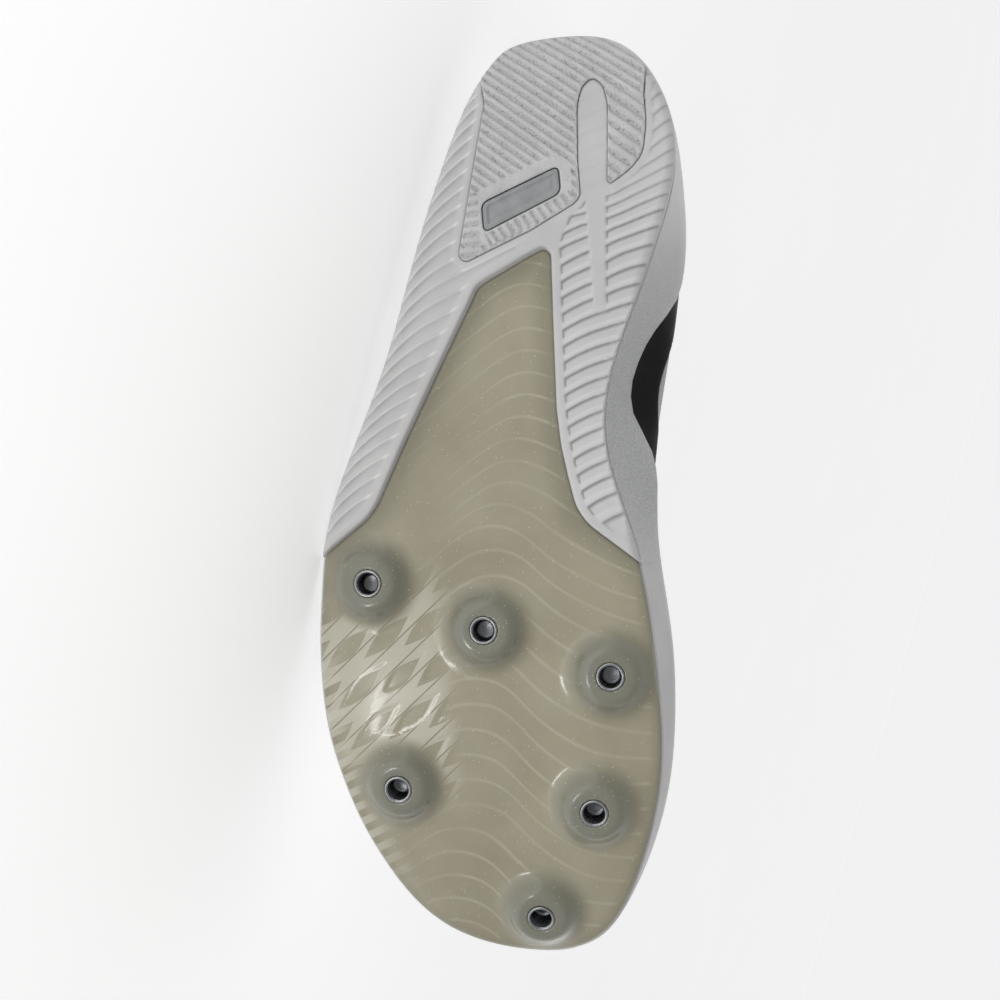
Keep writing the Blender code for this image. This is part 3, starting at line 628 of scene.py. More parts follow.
def normals_of(line):
    """Outward unit normals of a closed polyline."""
    along = np.roll(line, -1, 0) - np.roll(line, 1, 0)
    along /= np.maximum(np.hypot(*along.T), 1e-9)[:, None]
    area = (line[:, 0] * np.roll(line[:, 1], -1) - np.roll(line[:, 0], -1) * line[:, 1]).sum()
    sign = 1 if area > 0 else -1
    return np.stack([along[:, 1], -along[:, 0]], 1) * sign


def honeycomb(low, high, gap):
    """Points of a triangular net over a rectangle."""
    tall = gap * sqrt(3) / 2
    ys = np.arange(low[1], high[1], tall)
    xs = np.arange(low[0], high[0], gap)
    gx, gy = np.meshgrid(xs, ys)
    gx[1::2] += gap / 2
    return np.stack([gx.ravel(), gy.ravel()], 1)


def filled(outline, points, lines=()):
    """Triangles over the points inside an outline. lines are further polylines, (points, closed), that edges follow."""
    verts = [tuple(p) for p in outline]
    edges = []
    for line, closed in lines:
        first = len(verts)
        verts += [tuple(p) for p in line]
        edges += [(first + i, first + i + 1) for i in range(len(line) - 1)]
        if closed:
            edges.append((first + len(line) - 1, first))
    verts += [tuple(p) for p in points]
    done = delaunay_2d_cdt([Vector(v) for v in verts], edges, [list(range(len(outline)))], 1, 1e-5)
    return np.array([tuple(v) for v in done[0]]), np.array([list(f) for f in done[2]])


# ---------------------------------------------------------------- laying the shoe down
TURN = (
    Matrix.Rotation(radians(-REST_LEAN), 4, "X")
    @ Matrix(((1, 0, 0, 0), (0, 0, 1, 0), (0, -1, 0, 0), (0, 0, 0, 1)))
    @ Matrix.Rotation(radians(-REST_YAW), 4, "Z")
)
SPIN = np.array(TURN.to_3x3())


def world(points):
    """From the shoe's own frame in millimetres to the row's in metres; foam and cloth give where they meet the floor."""
    p = (np.atleast_2d(np.asarray(points, float)) @ SPIN.T + np.array(REST_SHIFT)) * 0.001
    p[:, 2] = np.maximum(p[:, 2], 0.00002)
    return p


def piece(name, points, faces, material, maps=None, marks=None, smooth_all=True, weld=None):
    """A mesh object from points in the shoe's frame. maps: {name: (u, v) per point}, marks: {name: number per point}."""
    mesh = bpy.data.meshes.new(name)
    mesh.from_pydata(world(points).tolist(), [], [list(f) for f in faces])
    for key, uv in (maps or {}).items():
        layer = mesh.uv_layers.new(name=key)
        corner = np.empty(len(mesh.loops), np.int32)
        mesh.loops.foreach_get("vertex_index", corner)
        layer.data.foreach_set("uv", np.asarray(uv, np.float32)[corner].ravel())
    for key, values in (marks or {}).items():
        mesh.attributes.new(key, "FLOAT", "POINT").data.foreach_set("value", np.asarray(values, np.float32))
    if weld:
        bm = bmesh.new()
        bm.from_mesh(mesh)
        bmesh.ops.remove_doubles(bm, verts=bm.verts[:], dist=weld * 0.001)
        bm.to_mesh(mesh)
        bm.free()
    if smooth_all:
        mesh.shade_smooth()
    mesh.materials.append(material)
    ob = bpy.data.objects.new(name, mesh)
    bpy.context.scene.collection.objects.link(ob)
    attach(ob, "root")
    return ob


def grid_faces(count_a, count_b, closed_a=False, closed_b=False, flip=False, first=0):
    """Faces of a grid of points laid out row by row: count_a rows of count_b points."""
    a = np.arange(count_a if closed_a else count_a - 1)
    b = np.arange(count_b if closed_b else count_b - 1)
    a, b = (m.ravel() for m in np.meshgrid(a, b, indexing="ij"))
    a1, b1 = (a + 1) % count_a, (b + 1) % count_b
    made = np.stack([a * count_b + b, a * count_b + b1, a1 * count_b + b1, a1 * count_b + b], 1) + first
    return made[:, ::-1] if flip else made


# ---------------------------------------------------------------- materials
class Nodes:
    """Small helper round a material's node tree."""

    def __init__(self, name, colour, roughness, **sockets):
        self.material = bpy.data.materials.new(name)
        self.material.use_nodes = True
        self.tree = self.material.node_tree
        self.shader = self.tree.nodes["Principled BSDF"]
        self.shader.inputs["Base Color"].default_value = (*colour, 1)
        self.shader.inputs["Roughness"].default_value = roughness
        for key, value in sockets.items():
            self.shader.inputs[key.replace("_", " ")].default_value = value
        self.place = self.node("ShaderNodeTexCoord").outputs["Object"]

    def node(self, kind, **settings):
        made = self.tree.nodes.new(kind)
        for key, value in settings.items():
            setattr(made, key, value)
        return made

    def give(self, socket, value):
        if isinstance(value, bpy.types.NodeSocket):
            self.tree.links.new(value, socket)
        elif isinstance(value, tuple) and len(value) == 3 and socket.type == "RGBA":
            socket.default_value = (*value, 1)
        else:
            socket.default_value = value

    def sum(self, operation, a, b=0.0, clamp=False):
        n = self.node("ShaderNodeMath", operation=operation, use_clamp=clamp)
        self.give(n.inputs[0], a)
        self.give(n.inputs[1], b)
        return n.outputs[0]

    def noise(self, scale, detail=2.0, rough=0.5, place=None, warp=0.0):
        n = self.node("ShaderNodeTexNoise")
        self.give(n.inputs["Vector"], place or self.place)
        n.inputs["Scale"].default_value = scale
        n.inputs["Detail"].default_value = detail
        n.inputs["Roughness"].default_value = rough
        n.inputs["Distortion"].default_value = warp
        return n.outputs["Fac"]

    def cells(self, scale, place=None, out="Distance", feature="F1"):
        n = self.node("ShaderNodeTexVoronoi", feature=feature)
        self.give(n.inputs["Vector"], place or self.place)
        n.inputs["Scale"].default_value = scale
        return n.outputs[out]

    def ramp(self, value, *stops, ease="LINEAR"):
        n = self.node("ShaderNodeValToRGB")
        self.give(n.inputs["Fac"], value)
        n.color_ramp.interpolation = ease
        while len(n.color_ramp.elements) < len(stops):
            n.color_ramp.elements.new(0.5)
        for element, (at, colour) in zip(n.color_ramp.elements, stops):
            element.position = at
            element.color = (*colour, 1) if isinstance(colour, tuple) else (colour, colour, colour, 1)
        return n.outputs["Color"]

    def span(self, value, low, high, to_low=0.0, to_high=1.0):
        n = self.node("ShaderNodeMapRange", clamp=True)
        self.give(n.inputs["Value"], value)
        for key, number in (("From Min", low), ("From Max", high), ("To Min", to_low), ("To Max", to_high)):
            n.inputs[key].default_value = number
        return n.outputs["Result"]

    def mix(self, fac, a, b, blend="MIX"):
        n = self.node("ShaderNodeMix", data_type="RGBA", blend_type=blend)
        self.give(n.inputs[0], fac)
        self.give(n.inputs[6], a)
        self.give(n.inputs[7], b)
        return n.outputs[2]

    def fract(self, value):
        """0 on a line of the pattern, 0.5 half way between two."""
        part = self.sum("FRACT", value)
        return self.sum("MINIMUM", part, self.sum("SUBTRACT", 1.0, part))

    def times(self, *values):
        made = values[0]
        for value in values[1:]:
            made = self.sum("MULTIPLY", made, value)
        return made

    def mark(self, name):
        return self.node("ShaderNodeAttribute", attribute_name=name).outputs["Fac"]

    def bump(self, height, strength, distance, normal=None):
        n = self.node("ShaderNodeBump")
        n.inputs["Strength"].default_value = strength
        n.inputs["Distance"].default_value = distance
        self.give(n.inputs["Height"], height)
        if normal is not None:
            self.give(n.inputs["Normal"], normal)
        return n.outputs["Normal"]

    def colour(self, value):
        self.give(self.shader.inputs["Base Color"], value)

    def rough(self, value):
        self.give(self.shader.inputs["Roughness"], value)

    def normal(self, value):
        self.give(self.shader.inputs["Normal"], value)


def tone(r, g, b):
    """A display colour, 0 to 255, as linear light."""
    return tuple((v / 255 / 12.92) if v <= 10 else ((v / 255 + 0.055) / 1.055) ** 2.4 for v in (r, g, b))


def foam_look():
    m = Nodes("foam", tone(202, 200, 200), 0.42)
    m.shader.inputs["Subsurface Weight"].default_value = 0.0
    grain = m.noise(2600, 3, 0.6)
    cloud = m.noise(60, 3, 0.55)
    base = m.mix(m.span(cloud, 0.35, 0.7), tone(194, 193, 193), tone(202, 201, 201))
    wall = m.mark("wall")
    fleck = m.span(m.noise(1900, 2, 0.6), 0.42, 0.62)
    grainy = m.mix(fleck, tone(181, 182, 183), tone(202, 202, 203))
    base = m.mix(wall, base, grainy)
    dirt = m.span(m.noise(240, 4, 0.7), 0.62, 0.8, 0.0, 0.16)
    base = m.mix(dirt, base, tone(176, 170, 164))
    # lateral ribs: a painted highlight on each crest and at each blunt tip, and painted shade in the dip after it
    rib = m.mark("rib")
    line = m.span(m.fract(rib), 0.03, 0.15, 1.0, 0.0)
    part = m.sum("FRACT", rib)
    shade = m.times(m.span(part, 0.08, 0.16), m.span(part, 0.28, 0.75, 1.0, 0.0))
    shade = m.sum("MAXIMUM", shade, m.times(m.span(part, 0.84, 0.9), m.span(part, 0.93, 0.96, 1.0, 0.0)))
    base = m.mix(m.times(shade, m.mark("dip"), 0.42), base, tone(164, 162, 162))
    base = m.mix(m.times(line, m.mark("shine"), 0.7), base, tone(230, 229, 228))
    base = m.mix(m.times(m.span(m.fract(rib), 0.06, 0.13, 1.0, 0.0), m.mark("blunt"), 0.8), base, tone(228, 226, 225))
    # medial ribs: painted shade, a dark line under each sharp wall and a dark bar where each begins, and a painted
    # highlight on each cell's lit slope
    part = m.sum("FRACT", m.mark("cell"))
    dark = m.times(m.span(part, 0.0, 0.05), m.span(part, 0.08, 0.26, 1.0, 0.0))
    bar = m.mark("bar")
    ends = m.times(m.span(bar, -0.05, 0.08), m.span(bar, 0.38, 0.62, 1.0, 0.0), m.span(part, 0.05, 0.12), m.span(part, 0.5, 0.62, 1.0, 0.0))
    base = m.mix(m.times(m.sum("MAXIMUM", dark, ends), m.mark("live"), 0.58), base, tone(112, 110, 110))
    lit = m.times(m.span(part, 0.62, 0.7), m.span(part, 0.9, 1.0, 1.0, 0.0))
    base = m.mix(m.times(lit, m.mark("live"), 0.35), base, tone(226, 224, 224))
    m.colour(base)
    m.rough(m.sum("ADD", m.span(grain, 0.3, 0.7, 0.34, 0.5), m.sum("MULTIPLY", wall, 0.22)))
    fine = m.bump(grain, 0.22, 0.00012)
    speck = m.bump(m.cells(1500), 0.8, 0.00035, fine)
    mixed = m.node("ShaderNodeMix", data_type="VECTOR")
    m.give(mixed.inputs[0], wall)
    m.give(mixed.inputs[4], fine)
    m.give(mixed.inputs[5], speck)
    m.normal(mixed.outputs[1])
    return m.material


def plate_look():
    m = Nodes("plate", tone(154, 147, 126), 0.16, Coat_Weight=0.35, Coat_Roughness=0.07, IOR=1.52)
    cloud = m.noise(38, 3, 0.55)
    base = m.mix(m.span(cloud, 0.35, 0.68), tone(153, 146, 125), tone(165, 158, 137))
    green = m.noise(70, 2, 0.5)
    base = m.mix(m.span(green, 0.5, 0.8, 0, 0.35), base, tone(156, 160, 136))
    # thicker and deeper in colour round the bosses; along the window's border and the plate's edge, painted shade where
    # the foam's rims stand proud of it
    base = m.mix(m.sum("MULTIPLY", m.mark("deep"), 0.85), base, tone(128, 126, 108))
    base = m.mix(m.mark("boss"), base, tone(114, 115, 102))
    base = m.mix(m.mark("cap"), base, tone(126, 127, 115))
    # the moulded wave lines
    line = m.mark("line")
    broken = m.span(m.noise(45, 2, 0.5), 0.34, 0.62, 0.45, 1.0)
    line = m.times(m.span(m.fract(m.mark("wave")), 0.05, 0.085, 1.0, 0.0), line)
    base = m.mix(m.times(line, 0.5, broken), base, tone(182, 178, 156))
    # pale stripes with lens-shaped gaps between straight cuts, beside the lateral bosses; the pale stripes are a
    # painted reflection of a bright light in the glossy relief
    across = m.mark("across")
    row = m.sum("FLOOR", across)
    inside_row = m.sum("ABSOLUTE", m.sum("SUBTRACT", m.sum("SUBTRACT", across, row), 0.5))
    swing = m.sum("SINE", m.sum("ADD", m.sum("DIVIDE", m.mark("along"), 4.6), m.sum("MULTIPLY", row, 2.5)))
    half = m.span(swing, -0.55, 1.0, -0.05, 0.43)
    gap = m.sum("SUBTRACT", half, inside_row)
    lens = m.span(gap, -0.02, 0.03)
    rim_line = m.span(m.sum("ABSOLUTE", gap), 0.02, 0.05, 1.0, 0.0)
    cut = m.span(inside_row, 0.455, 0.475)
    zone = m.mark("zone")
    painted_glare = m.times(m.sum("SUBTRACT", 1.0, lens), m.sum("SUBTRACT", 1.0, cut), zone)
    base = m.mix(m.times(lens, zone, 0.12), base, tone(144, 138, 118))
    base = m.mix(m.times(painted_glare, 0.6), base, tone(202, 198, 183))
    base = m.mix(m.times(m.sum("MAXIMUM", cut, m.times(rim_line, 0.6)), zone, 0.55), base, tone(122, 117, 98))
    # short notches along the lateral edge
    notch = m.span(m.sum("FRACT", m.mark("notch")), 0.3, 0.36)
    base = m.mix(m.times(notch, m.span(m.sum("FRACT", m.mark("notch")), 0.8, 0.86, 1.0, 0.0), m.mark("edge"), 0.6), base, tone(200, 197, 182))
    # glitter in the resin, its glints painted in as pale specks
    glint = m.cells(1500, out="Color")
    part = m.node("ShaderNodeSeparateColor")
    m.give(part.inputs[0], glint)
    rare = m.span(part.outputs[0], 0.92, 0.95)
    near = m.span(m.cells(1500), 0.12, 0.26, 1.0, 0.0)
    spark = m.sum("MULTIPLY", rare, near)
    base = m.mix(m.sum("MULTIPLY", spark, 0.8), base, tone(226, 224, 210))
    m.colour(base)
    m.rough(m.sum("ADD", m.span(m.noise(500, 3, 0.6), 0.3, 0.7, 0.13, 0.21), m.times(painted_glare, 0.06)))
    m.normal(m.bump(m.noise(900, 2, 0.5), 0.05, 0.0001))
    return m.material


def steel_look():
    m = Nodes("steel", tone(176, 178, 180), 0.26, Metallic=1.0)
    scratch = m.noise(3500, 3, 0.6)
    m.colour(m.mix(m.span(scratch, 0.3, 0.75), tone(150, 152, 154), tone(196, 198, 200)))
    # darker deeper into the socket: painted shade
    deep = m.mark("deep")
    m.colour(m.mix(deep, m.mix(m.span(scratch, 0.3, 0.75), tone(160, 162, 164), tone(202, 204, 206)), tone(126, 127, 129)))
    m.rough(m.span(scratch, 0.3, 0.7, 0.2, 0.36))
    m.normal(m.bump(scratch, 0.15, 0.00005))
    return m.material


def rubber_look():
    m = Nodes("heel_rubber", tone(192, 193, 193), 0.55)
    cloud = m.noise(160, 3, 0.6)
    base = m.mix(m.span(cloud, 0.35, 0.7), tone(190, 190, 190), tone(203, 203, 204))
    low = m.mark("groove")
    # darker in the grooves and on the walls: painted shade; dark specks throughout, thicker in the grooves
    speck = m.span(m.noise(1500, 2, 0.6), 0.565, 0.63)
    base = m.mix(m.sum("MULTIPLY", speck, m.sum("ADD", m.sum("MULTIPLY", low, 0.62), 0.16)), base, tone(92, 92, 92))
    base = m.mix(m.sum("MULTIPLY", low, 0.26), base, tone(156, 158, 158))
    m.colour(base)
    m.rough(m.span(cloud, 0.3, 0.7, 0.46, 0.62))
    rough = m.bump(m.noise(1500, 3, 0.65), 0.35, 0.00022)
    m.normal(rough)
    return m.material


def plaque_look():
    m = Nodes("heel_plaque", tone(150, 152, 153), 0.42)
    cloud = m.noise(300, 2, 0.5)
    m.colour(m.mix(m.span(cloud, 0.35, 0.7), tone(144, 146, 147), tone(156, 158, 159)))
    m.rough(m.span(cloud, 0.3, 0.7, 0.36, 0.5))
    m.normal(m.bump(m.noise(2500, 3, 0.6), 0.15, 0.0001))
    return m.material


# ---------------------------------------------------------------- the foam
STATIONS = 600
window_points = bent(plan(WINDOW_LATERAL) + plan(WINDOW), 3.0, 6, closed=False)


def carried_on(points, by):
    """An open line with both ends carried on straight."""
    a, b, c, d = (Vector(points[i]) for i in (0, 1, -2, -1))
    return [tuple(a + (a - b).normalized() * by)] + points + [tuple(d + (d - c).normalized() * by)]


WINDOW_LINE = even(carried_on(window_points, 9.0), 0.6, closed=False)
POCKET = np.array(sole_outline(157, 158.5, -9.0, 60) + carried_on(window_points, 9.0)[::-1])
RUBBER_EDGE = even(rubber_outline(0), 0.6)
RUBBER_CUT = np.array(rubber_outline(6.0))


def side_curve(side):
    """The sole's edge on one side, by stations from heel to toe: x, y, pull."""
    s = np.linspace(0, 1, STATIONS + 1)
    x = LENGTH / 2 * (1 - np.cos(pi * s))
    y = edge["lateral" if side > 0 else "medial"](x)
    middle = HEEL_Y + (TOE_Y - HEEL_Y) * s
    return x, y, np.minimum(1.0, np.abs(y - middle) / 12)


def roll_at(x, side):
    """How far the foam's edge rolls over: softly, but crisp at the medial arch."""
    crisp = step(70, 88, x) * step(158, 140, x) * (side < 0)
    return 3.0 - 1.9 * crisp


def medial_reach(x, y, from_window, from_rubber):
    """How far a point of the medial rail lies past the line where its cells begin."""
    reach = np.minimum(from_window - 2.6, from_rubber - 2.0)
    slant = np.where((x > 44) & (x < 68), (-24.5 + (x - 46) * 7.1 / 18) - y, 99.0)
    return np.minimum(reach, slant)


def foam_relief(x, y, from_window, from_rubber, from_edge):
    """The moulded ribs: how deep the surface lies under the rails' level, and the fields that colour them, painted
    highlights and shade among them.
    """
    # lateral rail: ribs that sweep up from the edge, each with a narrow crest
    lat = step(-8, -4, y)
    q = np.maximum(0.0, edge["lateral"](np.clip(x, 0, LENGTH)) - y)
    bend = np.where(q < 10.7, 1.62 * q - 0.05 * q * q, 11.61 + 0.55 * (q - 10.7))
    rib = (x + bend) / 5.75
    f = rib - np.floor(rib)
    # a narrow crest at 0 and 1, a dip after it, then a slow climb to the next
    wave = np.interp(f, (0, 0.05, 0.11, 0.18, 0.30, 0.80, 0.89, 0.95, 1.0), (0, 0.12, 0.62, 0.92, 1.0, 0.50, 0.44, 0.12, 0))
    room = np.minimum(from_window, from_rubber + 0.6)
    fade = step(2.3, 3.4, room) * step(4, 16, x) * (0.6 + 0.4 * step(9.0, 4.0, q)) * step(0.0, 1.2, q + 0.35)
    depth_lat = 0.6 * wave * fade
    # where each crest gets its painted highlight
    shine = fade * lat * step(0.25, 1.0, q) * step(16.0, 7.0, q)
    # medial rail: shallow cells with a sharp wall towards the heel
    med = step(-17.0, -18.0, y) * step(12, 22, x)
    reach = medial_reach(x, y, from_window, from_rubber)
    r = np.maximum(0.0, reach)
    inner = 0.6 * r - 0.014 * r * r
    r2 = np.maximum(0.0, -31.0 - y)
    steep = 0.75 * r2 - 0.024 * r2 * r2 - (0.236 * r2 - 0.014 * r2 * r2)
    cell_phase = (x + inner + steep * step(106, 48, x) * (y < -31.0)) / 4.7
    g = cell_phase - np.floor(cell_phase)
    cell = step(0.0, 0.09, g) * (1 - step(0.52, 0.68, g)) * (1 - 0.45 * step(0.07, 0.5, g))
    soft = 0.5 + 0.5 * step(44, 60, x)
    # a plain band between the cells and the outer ribs, behind the window's corner
    start = np.interp(x, (40, 82), (-24.2, -27.4))
    band = step(start + 0.3, start - 0.3, y) * step(-31.3, -30.7, y) * step(86, 81, x) * step(34, 40, x)
    live = med * step(0.0, 0.3, reach) * (1 - band)
    depth_med = 0.7 * soft * cell * live * step(0.2, 1.2, from_edge) * step(152, 144, x)
    # the slot's floor: faint ribs
    slot = (x < 50) & (y > -32.2) & (y < -22.0)
    k = (x - 0.35 * (y + 27)) / 5.2
    k = k - np.floor(k)
    faint = 0.16 * step(0, 0.2, k) * (1 - step(0.2, 1.0, k))
    depth = np.where(slot, faint + 0.1, depth_lat * lat + depth_med)
    # distance into the cells from the side where each ends in a dark bar of painted shade
    far = np.where((y < -30.9) & (x < 84), -31.0 - y, reach)
    plain = ~slot
    fields = {
        "rib": rib,
        "shine": shine * plain,
        "dip": lat * fade * plain,
        "cell": cell_phase,
        # where the medial cells take their painted shade and highlight
        "live": live * soft * plain * step(0.0, 0.8, from_edge) * step(150, 143, x),
        "bar": np.clip(far, -1.0, 3.0),
        # painted highlight at each rib's blunt tip
        "blunt": np.exp(-(((room - 3.0) / 0.8) ** 2)) * lat * step(4, 16, x) * plain,
    }
    return depth, fields


def make_foam(material):
    # outline of the bottom, both sides
    lx, ly, lp = side_curve(1)
    mx, my, mp = side_curve(-1)
    outline = np.vstack([np.stack([lx, ly], 1), np.stack([mx, my], 1)[-2:0:-1]])
    facing = normals_of(outline)
    roll = np.concatenate([roll_at(lx, 1), roll_at(mx, -1)[-2:0:-1]])
    # the net: fine where it shows, coarse under the plate and the rubber
    gap = 0.52
    fine = honeycomb((0, -56), (162, 62), gap)
    coarse = honeycomb((0, -56), (282, 62), 3.0)
    plate_edge = even(plate_outline(0, 0), 0.8)
    hidden_f = (inside(fine, shrunk(plate_edge, 1.2)) | inside(fine, shrunk(RUBBER_EDGE, 1.0)))
    hidden_c = (inside(coarse, shrunk(plate_edge, 2.6)) | inside(coarse, shrunk(RUBBER_EDGE, 2.2)))
    points = np.vstack([fine[~hidden_f], coarse[hidden_c]])
    points = points[inside(points, outline[::3])]
    far, _ = nearest(points, outline[::2])
    points = points[far > 3.1]
    rings = []
    for share in (0.03, 0.11, 0.22, 0.36, 0.52, 0.68, 0.84, 1.0):
        rings.append(outline - facing * (roll * share)[:, None])
    rings = np.vstack(rings)
    rings = rings[(rings[:, 0] > 1.0) & (rings[:, 0] < 279.0)]
    points = np.vstack([points, rings])
    lines = [
        (even(np.array(WINDOW_LINE), 0.7, closed=False), False),
        (shift_line(WINDOW_LINE, -0.22), False),
        (shift_line(WINDOW_LINE, 0.35), False),
        (even(RUBBER_EDGE, 0.7), True),
        (shrunk(RUBBER_EDGE, 0.2), True),
        (shrunk(RUBBER_EDGE, -0.3), True),
    ]
    keep = np.ones(len(points), bool)
    for line, closed in lines:
        near, _ = nearest(points, line, closed)
        keep &= near > 0.18
    verts, faces = filled(outline, points[keep], [(line, closed) for line, closed in lines])
    x, y = verts[:, 0], verts[:, 1]
    d_edge, at = nearest(verts, outline)
    d_window, _ = nearest(verts, WINDOW_LINE, closed=False)
    d_rubber, _ = nearest(verts, RUBBER_EDGE)
    in_plate = inside(verts, POCKET)
    d_window = np.where(in_plate, -d_window, d_window)
    in_rubber = inside(verts, RUBBER_CUT)
    in_rubber &= inside(verts, RUBBER_EDGE) | (x < 16)
    d_rubber = np.where(inside(verts, RUBBER_EDGE), -d_rubber, d_rubber)
    base = level["rails"](np.clip(x, 0, LENGTH))
    depth, fields = foam_relief(x, y, d_window, d_rubber, d_edge)
    # roll over at the edge
    r = roll[at]
    u = np.clip(1 - d_edge / r, 0, 1)
    z = base + r * (1 - np.sqrt(np.maximum(0.0, 1 - u * u)))
    # round off the rims beside the window and the rubber
    for far, size in ((d_window, 0.9), (d_rubber, 0.5)):
        v = np.clip(1 - far / size, 0, 1)
        z += size * 0.7 * (1 - np.sqrt(np.maximum(0.0, 1 - v * v)))
    out = facing[at]
    push = depth * (1 - in_plate) * (1 - in_rubber)
    verts3 = np.stack([x - out[:, 0] * u * push * 0.5, y - out[:, 1] * u * push * 0.5, z + np.sqrt(np.maximum(0.0, 1 - u * u)) * push], 1)
    z_plate = plate_under(x, y) + PLATE + GAP
    deep = in_plate & (d_window < -0.1)
    verts3[deep, 2] = np.maximum(verts3[deep, 2], z_plate[deep])
    z_rubber = heel_under(x, y) + RUBBER + GAP
    deep2 = in_rubber & ((d_rubber < -0.1) | (d_edge < 6))
    deep2 &= in_rubber
    verts3[deep2, 2] = np.maximum(verts3[deep2, 2], z_rubber[deep2])
    for key in ("shine", "dip", "live", "blunt"):
        fields[key] = fields[key] * (1 - in_plate) * (1 - in_rubber)
    blocks = [verts3]
    face_blocks = [faces[:, ::-1]]
    wall_marks = [step(1.2, 0.0, d_edge / r) * (out[:, 1] < 0) * step(46, 92, x) * step(176, 138, x)]
    field_blocks = {key: [value] for key, value in fields.items()}
    count = len(verts3)
    # the sidewalls and the rims that hold the upper
    shares = np.linspace(0, 1, 15)
    shape_up = (0.0, 0.34, 0.62, 0.86, 1.0)
    over_curve = smooth(shape_up, (0.0, 0.24, 0.55, 0.86, 1.0))
    puff_curve = smooth(shape_up, (0.0, 0.6, 0.7, 0.4, 0.0))
    for side, (sx, sy, sp) in ((1, (lx, ly, lp)), (-1, (mx, my, mp))):
        ring_roll = roll_at(sx, side)
        key = "lateral" if side > 0 else "medial"
        n = normals_of(outline)
        n_side = n[: STATIONS + 1] if side > 0 else np.vstack([n[0:1], n[STATIONS + 1 :][::-1], n[STATIONS : STATIONS + 1]])
        plan_points = np.stack([sx, sy], 1)
        dw, _ = nearest(plan_points, WINDOW_LINE, closed=False)
        dr, _ = nearest(plan_points, RUBBER_EDGE)
        ip = inside(plan_points, POCKET)
        ir = inside(plan_points, RUBBER_CUT) & (sx < 16)
        depth_s, fields_s = foam_relief(sx, sy, np.where(ip, -dw, dw), dr, np.zeros(len(sx)))
        depth_s = depth_s * ~ip * ~ir
        for label in ("shine", "dip", "live", "blunt"):
            fields_s[label] = fields_s[label] * ~ip * ~ir
        z0 = level["rails"](sx) + ring_roll
        z0 = np.where(ip, np.maximum(z0, plate_under(sx, sy) + PLATE + GAP), z0)
        z0 = np.where(ir, np.maximum(z0, heel_under(sx, sy) + RUBBER + GAP), z0)
        z_rim = rim[key](sx)
        s = np.linspace(0, 1, STATIONS + 1)
        xu = HEEL_X + (TOE_X - HEEL_X) / 2 * (1 - np.cos(pi * s))
        middle = HEEL_Y + (TOE_Y - HEEL_Y) * s
        lip_rows = np.linspace(0, STATIONS, 81).round().astype(int)
        upper_y = np.interp(s, s[lip_rows], [side_at(float(xu[i]), side, float(z_rim[i])) for i in lip_rows])
        lip = upper_y + side * 2.0 * np.minimum(1.0, np.abs(sy - middle) / 18)
        rows_made = []
        marks_wall, shares_left = [], []
        for t in shares:
            over, puff = float(over_curve(t)), float(puff_curve(t))
            yy = sy + (lip - sy) * over + side * puff * sp
            zz = z0 + (z_rim - 1.2 - z0) * t
            fade = depth_s * max(0.0, 1 - t * 2.4)
            rows_made.append(np.stack([sx - n_side[:, 0] * fade * 0.5, yy - n_side[:, 1] * fade * 0.5, zz], 1))
            marks_wall.append(np.full(len(sx), 1.0) * ((step(46, 92, sx) * step(176, 138, sx)) if side < 0 else 0.0) + 0.0)
            shares_left.append(max(0.0, 1 - t * 2.4))
        for inward, up in ((0.12, -0.7), (0.45, -0.25), (1.0, -0.02), (1.6, 0.0), (2.3, -0.3), (3.4, -1.2)):
            rows_made.append(np.stack([sx, lip - side * inward * sp, z_rim + up], 1))
            marks_wall.append(marks_wall[-1])
            shares_left.append(0.0)
        grid = np.stack(rows_made)
        blocks.append(grid.reshape(-1, 3))
        face_blocks.append(grid_faces(len(rows_made), STATIONS + 1, flip=side < 0, first=count))
        wall_marks.append(np.concatenate(marks_wall))
        for label, value in fields_s.items():
            kept = [value if label in ("rib", "cell", "bar") else value * share for share in shares_left]
            field_blocks[label].append(np.concatenate(kept))
        count += len(blocks[-1])
    # the bed that carries the insole
    xs = np.concatenate([[3.4], np.linspace(4, 276, 60), [276.6]])
    bed = []
    for x0 in xs:
        a, b = (float(side_of[k](x0)) for k in ("lat_foot", "med_foot"))
        bed += [(x0, b + (a - b) * t, float(level["bed"](x0)) - 0.4) for t in np.linspace(0, 1, 9)]
    blocks.append(np.array(bed))
    face_blocks.append(grid_faces(len(xs), 9, first=count, flip=True))
    wall_marks.append(np.zeros(len(bed)))
    for key in field_blocks:
        field_blocks[key].append(np.zeros(len(bed)))
    faces_all = [f for block in face_blocks for f in block.tolist()]
    marks = {key: np.concatenate(blocks_of) for key, blocks_of in field_blocks.items()}
    marks["wall"] = np.concatenate(wall_marks)
    ob = piece(
        "foam_midsole",
        np.vstack(blocks),
        faces_all,
        material,
        marks=marks,
        weld=0.02,
    )
    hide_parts("midsole")
    return ob


def shrunk(points, by):
    """A closed outline moved in (or out, below 0), as an array."""
    points = np.asarray(points, float)
    return points - normals_of(points) * by


def shift_line(line, by):
    """An open polyline moved sideways, to the plate's side for by below 0."""
    along = np.gradient(line, axis=0)
    along /= np.maximum(np.hypot(*along.T), 1e-9)[:, None]
    side = np.stack([-along[:, 1], along[:, 0]], 1)
    probe = line + side * 0.5
    sign = -1 if inside(probe[len(line) // 2 : len(line) // 2 + 1], POCKET)[0] else 1
    return line + side * by * sign


# ---------------------------------------------------------------- the spike plate
WELL_CUT = 4.3


def well_frame(x, y):
    spot = Vector((x, y, float(plate_under(x, y))))
    rise = float(level["plate"](x + 4) - level["plate"](x - 4)) / 8
    out = Vector((rise, 0, -1)).normalized()
    along = Vector((1, 0, rise)).normalized()
    across = out.cross(along)
    m = Matrix((along, across, out)).transposed().to_4x4()
    m.translation = spot
    return m


